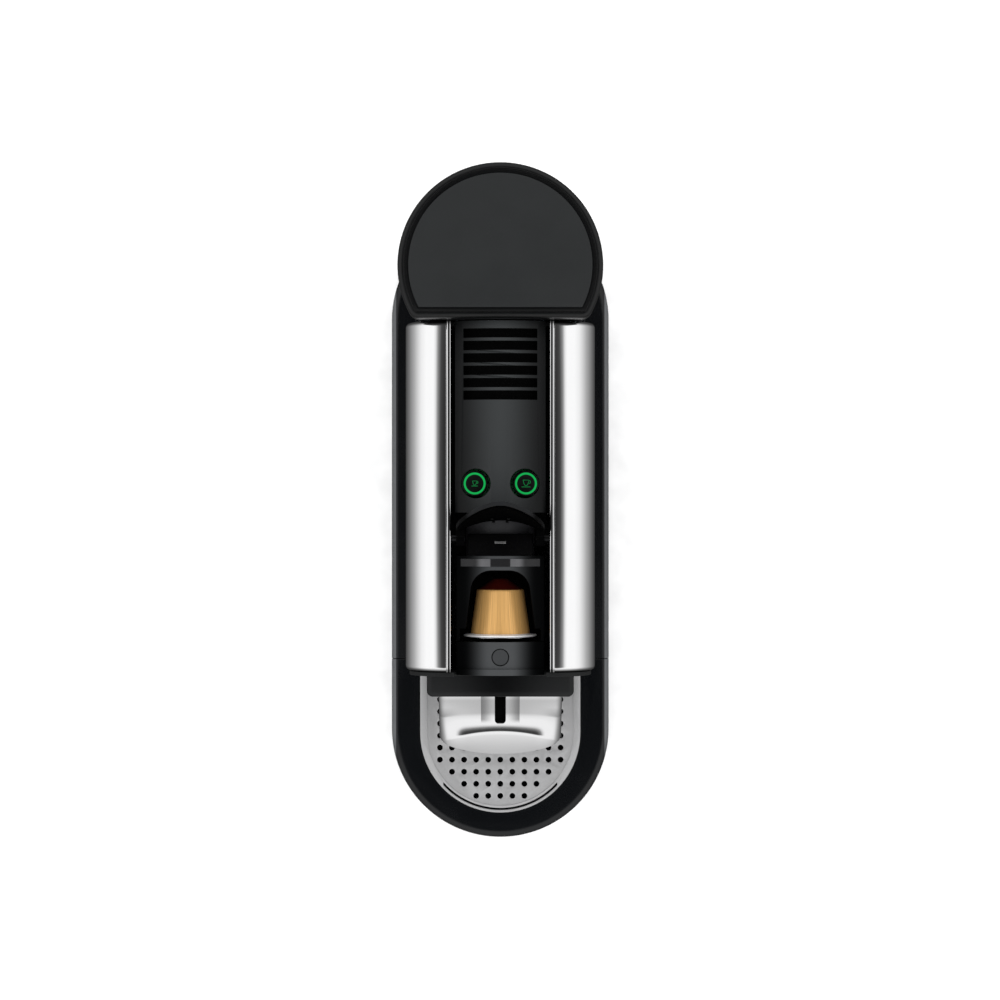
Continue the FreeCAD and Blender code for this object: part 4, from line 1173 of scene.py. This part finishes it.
@dataclass
class PodBay(Assembly):
    """Slot surround, its ribbed strip, the hinge bridge, the outlet plate and the brew cage."""

    title = "pod bay"
    # painted light: the surround is painted lighter along its middle
    crowned: Finish = CrownedSatin("surround black", (0.0004, 0.0005, 0.0006), 0.4, half_width=20.5 * MM,
                                   plateau=0.2, specular=0.03, worn=(0.04, 0.042, 0.044))
    # painted shade: near black, darker than the head's plastic, for the shade of the bridge's recess; the
    # coffee duct shares it
    dark: Finish = SatinPlastic("bridge black", (0.0004, 0.0004, 0.0005), 0.5, specular=0.04)
    banded: Finish = BandedStrip("strip black", (0.01, 0.01, 0.011), 0.3)
    steel: Finish = SatinSteel("plate steel", (0.55, 0.55, 0.55), 0.3)
    cage: Finish = SatinPlastic("cage grey", (0.02, 0.02, 0.022), 0.5)
    bright: Finish = SatinSteel("clip steel", (0.4, 0.4, 0.4), 0.3)
    rib_count: int = 46
    rib_share: float = 0.92
    rib_half_width: float = 0.16 * MM
    rib_root: float = 0.3 * MM
    rib_rise: float = 0.128 * MM
    rib_inset: float = 0.5 * MM
    plain_half_width: float = 1.0 * MM

    def build(self) -> None:
        """Make the bay's pieces."""
        self.soft_copy("pod_chute", self.crowned, 0.45 * MM)
        self.soft_copy("hinge_bridge", self.dark, 0.4 * MM)
        self.place(self.ribbed_strip(), self.banded, "chute_strip")
        self.soft_copy("bridge_clip", self.bright, 0.05 * MM)
        self.soft_copy("outlet_plate", self.steel, 0.2 * MM)
        self.soft_copy("brew_cage", self.cage, 0.6 * MM)
        self.keep("cage_pushrod", self.steel)
        self.keep("cage_bearing", self.steel)
        self.keep("coffee_duct", self.dark)

    def ribbed_strip(self) -> bpy.types.Object:
        """A crowned strip with fine ribs across it, in two banks with a plain middle.

        Returns:
            The strip.
        """
        low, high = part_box("chute_strip")
        strip = self.twin("chute_strip")
        Bench.tidy(strip)
        half, crown = (high.x - low.x) / 2, high.z - low.z
        radius = (half ** 2 + crown ** 2) / (2 * crown)
        reach = half * self.rib_share
        ribs = [strip]
        for index in range(self.rib_count):
            x = -reach + 2 * reach * index / (self.rib_count - 1)
            if abs(x) < self.plain_half_width:
                continue
            top = high.z - radius + math.sqrt(radius ** 2 - x ** 2)
            rib = Bench.cube("rib", (x - self.rib_half_width, low.y + self.rib_inset, top - self.rib_root),
                             (x + self.rib_half_width, high.y - self.rib_inset, top + self.rib_rise))
            ribs.append(rib)
        return Bench.join("ribbed_strip", ribs)


@dataclass
class Lever(Assembly):
    """Lever shell, its liner, its screws and its hinge pins."""

    title = "lever"
    # painted shade: the shell falls to near black low inside the raised lever
    shell: Finish = LeverBlack("lever black", (0.011, 0.0115, 0.0125), 0.35, specular=0.06)
    liner: Finish = SatinPlastic("lever liner black", (0.0002, 0.0002, 0.0003), 0.8, specular=0.01)
    steel: Finish = SatinSteel("blackened steel", (0.02, 0.02, 0.021), 0.4)

    def build(self) -> None:
        """Make the lever's pieces."""
        self.soft_copy("lever_shell", self.shell, 0.6 * MM)
        self.soft_copy("lever_liner", self.liner, 0.3 * MM)
        self.soft_copy("lever_screws", self.steel, 0.15 * MM)
        self.keep("lever_pins", self.steel)


@dataclass
class ButtonPair(Assembly):
    """The two push buttons with their lit rings and cup signs."""

    title = "buttons"
    cap: Finish = SatinPlastic("button black", (0.0015, 0.002, 0.0018), 0.3, specular=0.2)
    lit: Finish = LitGreen("button green", (0.004, 0.42, 0.08), 0.6)
    sign: Finish = LitGreen("sign green", (0.004, 0.16, 0.035), 0.6)
    stroke: float = 0.17 * MM
    lift: float = 0.02 * MM

    def build(self) -> None:
        """Make both buttons."""
        for cup in Cup:
            node = f"{cup.value}_button"
            self.soft_copy(node, self.cap, 0.35 * MM)
            self.soft_copy(f"{cup.value}_light_ring", self.lit, 0.08 * MM)
            self.add(self.cup_sign(cup), self.sign, node)

    def cup_sign(self, cup: Cup) -> bpy.types.Object:
        """A generic cup drawn with thin bars: bowl, foot, handle and saucer.

        Args:
            cup: Which cup size.

        Returns:
            The sign.
        """
        low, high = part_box(f"{cup.value}_button")
        x, y, z = (low.x + high.x) / 2, (low.y + high.y) / 2, high.z + self.lift
        size = {Cup.ESPRESSO: 0.85, Cup.LUNGO: 1.15}[cup] * MM

        def spots(pairs: Sequence[tuple[float, float]]) -> list[Vector]:
            """Sign coordinates turned into places on the cap.

            Args:
                pairs: Coordinates in units of the sign's size.

            Returns:
                The places.
            """
            return [Vector((x + a * size, y + b * size, z)) for a, b in pairs]

        left = [(-1.3, 1.5), (-0.95, 0.1), (-0.45, -0.9)]
        bowl = left + [(-a, b) for a, b in reversed(left)] + left[:1]
        handle = arc((1.35, 0.65), 0.62, 80, -110, 8)
        strokes = {"bowl": bowl, "handle": handle, "saucer": [(-1.9, -1.5), (1.9, -1.5)]}
        bars = [Bench.wire(f"{cup.value}_{name}", spots(pairs), self.stroke)
                for name, pairs in strokes.items()]
        return Bench.join(f"{cup.value}_sign", bars)


@dataclass
class Pod(Assembly):
    """Aluminium pod with a rolled rim, and its foil."""

    title = "pod"
    gold: Finish = PodAluminium("pod gold", (0.68, 0.385, 0.13), 0.3)
    foil: Finish = SatinSteel("foil silver", (0.75, 0.75, 0.75), 0.3)
    steps: int = 96
    rim_radius: float = 0.55 * MM
    rim_depth: float = 0.35 * MM
    shoulder: tuple[tuple[float, float], ...] = ((15.7, 1.15), (15.15, 1.6), (15.0, 3.0))
    tip: tuple[tuple[float, float], ...] = ((12.2, 6.5), (11.95, 5.7), (11.5, 5.4), (10.4, 4.8), (7.6, 2.9),
                                            (4.6, 0.9), (3.6, 0.1))

    def build(self) -> None:
        """Make the pod."""
        self.place(self.shell(), self.gold, "pod_shell")
        self.keep("pod_foil", self.foil)

    def shell(self) -> bpy.types.Object:
        """The pod's outline spun about its axis.

        The shoulder's points are radius and distance behind the rim's face, and the tip's are radius
        and distance ahead of the tip's end, in millimetres.

        Returns:
            The pod's shell.
        """
        low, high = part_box("pod_shell")
        axis_z = (low.z + high.z) / 2
        rim = (high.x - low.x) / 2
        front, rear = low.y, high.y
        roll = rim - self.rim_radius
        outline = [(0.0, front), (roll - self.rim_depth, front)]
        outline += arc((roll, front + self.rim_radius), self.rim_radius, -90, 90, 8)
        outline += [(out * MM, front + back * MM) for out, back in self.shoulder]
        outline += [(out * MM, rear - ahead * MM) for out, ahead in self.tip]
        outline.append((0.0, rear))
        piece = Bench.line("pod_body", [Vector((a, b, axis_z)) for a, b in outline])
        bpy.ops.mesh.select_all(action="SELECT")
        bpy.ops.mesh.spin(steps=self.steps, angle=math.tau, center=(0.0, 0.0, axis_z),
                          axis=(0.0, 1.0, 0.0))
        Bench.done()
        Bench.tidy(piece)
        Bench.soften(piece, 0.0)
        return piece


@dataclass
class Outlet(Assembly):
    """Band across the head, the chrome hood below it, and the twin spout."""

    title = "outlet"
    # painted shade: the band is painted darker along its middle than at its sides
    black: Finish = CrownedSatin("band black", (0.012, 0.0125, 0.013), 0.4, specular=0.12,
                                 half_width=32 * MM, worn=(0.002, 0.0022, 0.0025))
    dark: Finish = SatinPlastic("spout black", (0.0006, 0.0006, 0.0006), 0.5, specular=0.06)
    chrome: Finish = HoodChrome("hood chrome", (0.8, 0.8, 0.805), 0.1)
    slope: float = 46.0
    crease: tuple[float, float] = (-112.0 * MM, 130.75 * MM)
    rear_y: float = -89.9 * MM
    lip_inset: float = 0.7 * MM
    lip_height: float = 119.4 * MM
    lip_knee: tuple[float, float] = (-118.0 * MM, 126.6 * MM)
    sweep_radius: float = 15.5 * MM
    side_radius: float = 4.5 * MM
    wall: float = 1.2 * MM
    hem: float = 0.1 * MM
    slope_steps: int = 3
    sweep_steps: int = 14
    lip_steps: int = 7
    column_steps: int = 40
    skirt: float = 36.0 * MM
    skirt_spare: float = 6.0 * MM
    front_radius: float = 84.0 * MM
    corner_start: float = 27.0 * MM
    corner_end: float = 34.0 * MM
    corner_draw: float = 3.4 * MM
    crease_draw: float = 4.8 * MM
    crease_reach: float = 30.0 * MM
    crease_gap: float = 0.4 * MM
    draw_run: float = 20.0 * MM
    fade: tuple[float, float] = (19.0 * MM, 40.0 * MM)
    fade_most: float = 0.8
    slot_half_width: float = 3.05 * MM
    slot_end_y: float = -107.0 * MM
    slot_corner: float = 1.6 * MM
    slot_cut: tuple[float, float, float] = (-80.0 * MM, 120.0 * MM, 170.0 * MM)

    def build(self) -> None:
        """Make the outlet's pieces."""
        self.soft_copy("outlet_carrier", self.black, 0.4 * MM)
        self.place(self.hood(), self.chrome, "outlet_hood")
        self.soft_copy("coffee_nozzle", self.dark, 0.5 * MM)

    def outline(self) -> tuple[list[tuple[float, float]], int]:
        """The hood's side outline at its middle: slope, hollow sweep, lip and skirt.

        Returns:
            Y and Z of its points, and the number of the crease.
        """
        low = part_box("outlet_hood")[0]
        angle = math.radians(self.slope)
        centre = (self.crease[0], self.crease[1] + self.sweep_radius)
        foot = (centre[0] + self.sweep_radius * math.sin(angle),
                centre[1] - self.sweep_radius * math.cos(angle))
        run = self.rear_y - foot[0]
        points = []
        for step in range(self.slope_steps):
            left = run * (1 - step / self.slope_steps)
            points.append((foot[0] + left, foot[1] + left * math.tan(angle)))
        points += arc(centre, self.sweep_radius, -90 + self.slope, -90, self.sweep_steps)
        crease_at = len(points) - 1
        front = (low.y + self.lip_inset, self.lip_height)
        crease = points[-1]
        for step in range(1, self.lip_steps + 1):
            t = step / self.lip_steps
            points.append(tuple((1 - t) ** 2 * a + 2 * t * (1 - t) * b + t * t * c
                                for a, b, c in zip(crease, self.lip_knee, front)))
        points.append((front[0], low.z - self.skirt_spare))
        return points, crease_at

    def columns(self) -> list[tuple[float, float]]:
        """Where the outline is repeated across the hood, and how far it drops at the rounded sides.

        Returns:
            X and drop of each column, from left to right.
        """
        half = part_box("outlet_hood")[1].x
        inner = half - self.side_radius
        turn = [math.radians(angle) for angle in range(90, 0, -10)]
        left = [(-half, self.skirt)]
        left += [(-inner - self.side_radius * math.sin(angle), self.side_radius * (1 - math.cos(angle)))
                 for angle in turn]
        steps = self.column_steps
        middle = [(-inner + 2 * inner * step / steps, 0.0) for step in range(steps + 1)]
        return left + middle + [(-x, drop) for x, drop in reversed(left)]

    def shift(self, x: float, row: int, points: Sequence[tuple[float, float]],
              crease_at: int) -> tuple[float, float]:
        """How far one point of the outline moves at a distance from the middle.

        Args:
            x: Distance from the middle.
            row: The point's number.
            points: The outline at the middle.
            crease_at: The number of the crease.

        Returns:
            The move in Y and in Z.
        """
        crease, front = points[crease_at], points[-2]
        back = self.front_radius - math.sqrt(self.front_radius ** 2 - x ** 2)
        across = (x - self.corner_start) / (self.corner_end - self.corner_start)
        across = min(1.0, max(0.0, across))
        back += self.corner_draw * (1.0 - math.sqrt(1.0 - across ** 2))
        forward = min(self.crease_draw * (x / self.crease_reach) ** 2,
                      crease[0] - front[0] - back - self.crease_gap)
        if row == len(points) - 1:
            return back, 0.0
        if row <= crease_at:
            share = max(0.0, 1.0 - (points[row][0] - crease[0]) / self.draw_run)
            new_y, new_z = points[row][0] - forward * share ** 1.5, points[row][1]
        else:
            shrink = (crease[0] - forward - front[0] - back) / (crease[0] - front[0])
            new_y = crease[0] - forward + (points[row][0] - crease[0]) * shrink
            new_z = crease[1] + (points[row][1] - crease[1]) * shrink
        foot = points[self.slope_steps]
        if row > self.slope_steps:
            plain = foot[1] + (new_y - foot[0]) * (front[1] - foot[1]) / (front[0] + back - foot[0])
            fade = min(1.0, max(0.0, (x - self.fade[0]) / (self.fade[1] - self.fade[0])))
            new_z += (plain - new_z) * self.fade_most * fade * fade * (3.0 - 2.0 * fade)
        return new_y - points[row][0], new_z - points[row][1]

    def hood(self) -> bpy.types.Object:
        """The hood: its outline carried across in columns, bowed, walled and slotted.

        Returns:
            The hood.
        """
        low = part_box("outlet_hood")[0]
        points, crease_at = self.outline()
        columns = self.columns()
        first_x, first_drop = columns[0]
        piece = Bench.line("hood_shell", [Vector((first_x, y, z - first_drop)) for y, z in points])
        bpy.ops.mesh.select_all(action="SELECT")
        for (x0, drop0), (x1, drop1) in zip(columns, columns[1:]):
            Bench.extrude((x1 - x0, 0.0, drop0 - drop1))
        for x, drop in columns:
            for row, (y, z) in enumerate(points):
                move = self.shift(abs(x), row, points, crease_at)
                if max(abs(part) for part in move) < TINY:
                    continue
                spot = Vector((x, y, z - drop))
                Bench.pick(piece, "VERT", lambda co: (co - spot).length < TINY / 10)
                bpy.ops.transform.translate(value=(0.0, *move))
        bpy.ops.mesh.select_all(action="SELECT")
        bpy.ops.mesh.bisect(plane_co=(0.0, 0.0, low.z + self.hem), plane_no=(0.0, 0.0, 1.0),
                            clear_inner=True)
        Bench.done()
        Bench.tidy(piece)
        Bench.face_up(piece)
        Bench.modify(piece, "SOLIDIFY", thickness=self.wall, offset=-1.0)
        return self.slotted(piece)

    def slotted(self, piece: bpy.types.Object) -> bpy.types.Object:
        """Cut the round-ended slot and soften the edges.

        Args:
            piece: The hood without its slot.

        Returns:
            The finished hood.
        """
        rear_y, low_z, high_z = self.slot_cut
        cutter = Bench.cube("slot_cutter", (-self.slot_half_width, self.slot_end_y, low_z),
                            (self.slot_half_width, rear_y, high_z))
        Bench.edit(cutter)
        Bench.pick(cutter, "EDGE", lambda co: abs(co.y - self.slot_end_y) < TINY,
                   lambda co: abs(abs(co.x) - self.slot_half_width) < TINY)
        bpy.ops.mesh.bevel(offset=self.slot_corner, segments=5, profile=0.5)
        Bench.done()
        Bench.modify(piece, "BOOLEAN", object=cutter, operation="DIFFERENCE", solver="EXACT")
        bpy.data.objects.remove(cutter)
        Bench.soften(piece, 0.25 * MM, 2, 60.0)
        return piece


@dataclass
class WaterTank(Assembly):
    """Smoked tank, its valve, and the two-part lid."""

    title = "water tank"
    clear: Finish = SmokedClear("tank smoke", (0.32, 0.34, 0.37), 0.06)
    valve: Finish = SatinPlastic("valve white", (0.65, 0.65, 0.62), 0.45)
    ring: Finish = SatinPlastic("lid black", (0.002, 0.0022, 0.0024), 0.25, specular=0.3)
    plate: Finish = SatinPlastic("lid plate black", (0.0105, 0.0115, 0.012), 0.4, specular=0.3)

    def build(self) -> None:
        """Make the tank's pieces."""
        self.soft_copy("water_tank", self.clear, 0.5 * MM)
        self.soft_copy("tank_valve", self.valve, 0.3 * MM)
        self.soft_copy("tank_lid", self.ring, 0.3 * MM)
        self.soft_copy("lid_plate", self.plate, 0.4 * MM)


@dataclass
class Works(Assembly):
    """What is inside: frame, pump, heater, hoses and the control board."""

    title = "works"
    frame_grey: Finish = SatinPlastic("frame grey", (0.006, 0.006, 0.0063), 0.7, specular=0.1)
    switch_black: Finish = SatinPlastic("switch black", (0.015, 0.015, 0.015), 0.5)
    steel: Finish = SatinSteel("pump steel", (0.5, 0.5, 0.5), 0.35, brushed=1.0)
    copper: Finish = WoundCopper("coil copper", (0.5, 0.16, 0.06), 0.35)
    alloy: Finish = SatinSteel("cast alloy", (0.58, 0.58, 0.58), 0.5, depth=0.03 * MM)
    silicone: Finish = SoftRubber("hose silicone", (0.55, 0.55, 0.52), 0.45)
    rubber: Finish = SoftRubber("mount rubber", (0.02, 0.02, 0.02), 0.75)
    board: Finish = SatinPlastic("board green", (0.01, 0.1, 0.035), 0.4)

    def build(self) -> None:
        """Dress the inner nodes."""
        dressed = {
            self.frame_grey: ("column_frame", "board_posts", "flow_meter"),
            self.switch_black: ("button_switches",),
            self.steel: ("pump_body",),
            self.copper: ("pump_coil",),
            self.alloy: ("thermoblock",),
            self.silicone: ("suction_hose", "pressure_hose", "brew_hose"),
            self.rubber: ("pump_mounts", "thermoblock_feet", "dock_seal"),
            self.board: ("control_board",),
        }
        for finish, nodes in dressed.items():
            for node in nodes:
                self.keep(node, finish)


@dataclass
class Studio:
    """Floor, soft light and the camera straight above.

    The sky's levels are pairs of place, from 0 straight down to 1 straight up, and brightness.
    """

    camera_place: tuple[float, float, float] = (-0.00016, 0.0167, 1.5464)
    lens: float = 91.85
    floor_size: float = 6.0
    lamp_power: float = 3.0
    lamp_spread: float = 70.0
    sensor: float = 36.0
    levels: tuple[tuple[float, float], ...] = (
        (0.0, 0.05), (0.095, 0.12), (0.18, 0.2), (0.379, 0.44), (0.49, 0.66), (0.62, 0.93), (0.75, 1.06),
        (0.894, 1.06), (0.924, 0.85), (0.95, 0.3), (0.9755, 0.068), (1.0, 0.022))

    def build(self) -> None:
        """Set up the studio."""
        self.floor()
        self.sky()
        self.lamp()
        self.camera()
        log.info("studio: floor, sky, lamp and camera set")

    def floor(self) -> None:
        """Plain pale floor."""
        Bench.clear()
        bpy.ops.mesh.primitive_plane_add(size=self.floor_size, location=(0.0, 0.0, 0.0))
        floor = bpy.context.object
        floor.name = "studio_floor"
        Assembly.dress(floor, SatinPlastic("floor white", (0.9, 0.9, 0.9), 0.9, specular=0.05))
        floor.visible_glossy = False

    def sky(self) -> None:
        """Surround light by height: dark right above, bright walls, and grey fading away below."""
        world = bpy.data.worlds.new("studio_sky")
        bpy.context.scene.world = world
        world.use_nodes = True
        graph = ShaderGraph(world.node_tree)
        z = graph.axes(graph.signal("ShaderNodeTexCoord", output="Generated"))[2]
        stops = [(place, (level, level, level)) for place, level in self.levels]
        light = graph.node("ShaderNodeValToRGB", {"stops": stops}, {"Fac": (z + 1.0) / 2.0})
        sky = graph.node("ShaderNodeBackground", inputs={"Color": light.outputs["Color"]})
        graph.node("ShaderNodeOutputWorld", inputs={"Surface": sky.outputs[0]})

    def lamp(self) -> None:
        """Broad overhead lamp for the floor, left out of mirror reflections."""
        lamp = bpy.data.lights.new("ceiling_lamp", "SUN")
        lamp.energy = self.lamp_power
        lamp.angle = math.radians(self.lamp_spread)
        holder = bpy.data.objects.new("ceiling_lamp", lamp)
        holder.visible_glossy = False
        bpy.context.scene.collection.objects.link(holder)

    def camera(self) -> None:
        """Camera straight above, looking down."""
        data = bpy.data.cameras.new("camera")
        data.lens = self.lens
        data.sensor_width = self.sensor
        holder = bpy.data.objects.new("camera", data)
        holder.location = self.camera_place
        bpy.context.scene.collection.objects.link(holder)
        bpy.context.scene.camera = holder
        bpy.context.scene.view_settings.view_transform = "Standard"


def main() -> None:
    """Build the machine piece by piece, then the studio."""
    logging.basicConfig(level=logging.INFO, format="%(name)s %(message)s")
    for assembly in (Base(), DripUnit(), ChromeSides(), TopStrip(), PodBay(), Lever(), ButtonPair(),
                     Pod(), Outlet(), WaterTank(), Works()):
        assembly.build()
    Studio().build()


if __name__ == "__main__":
    main()
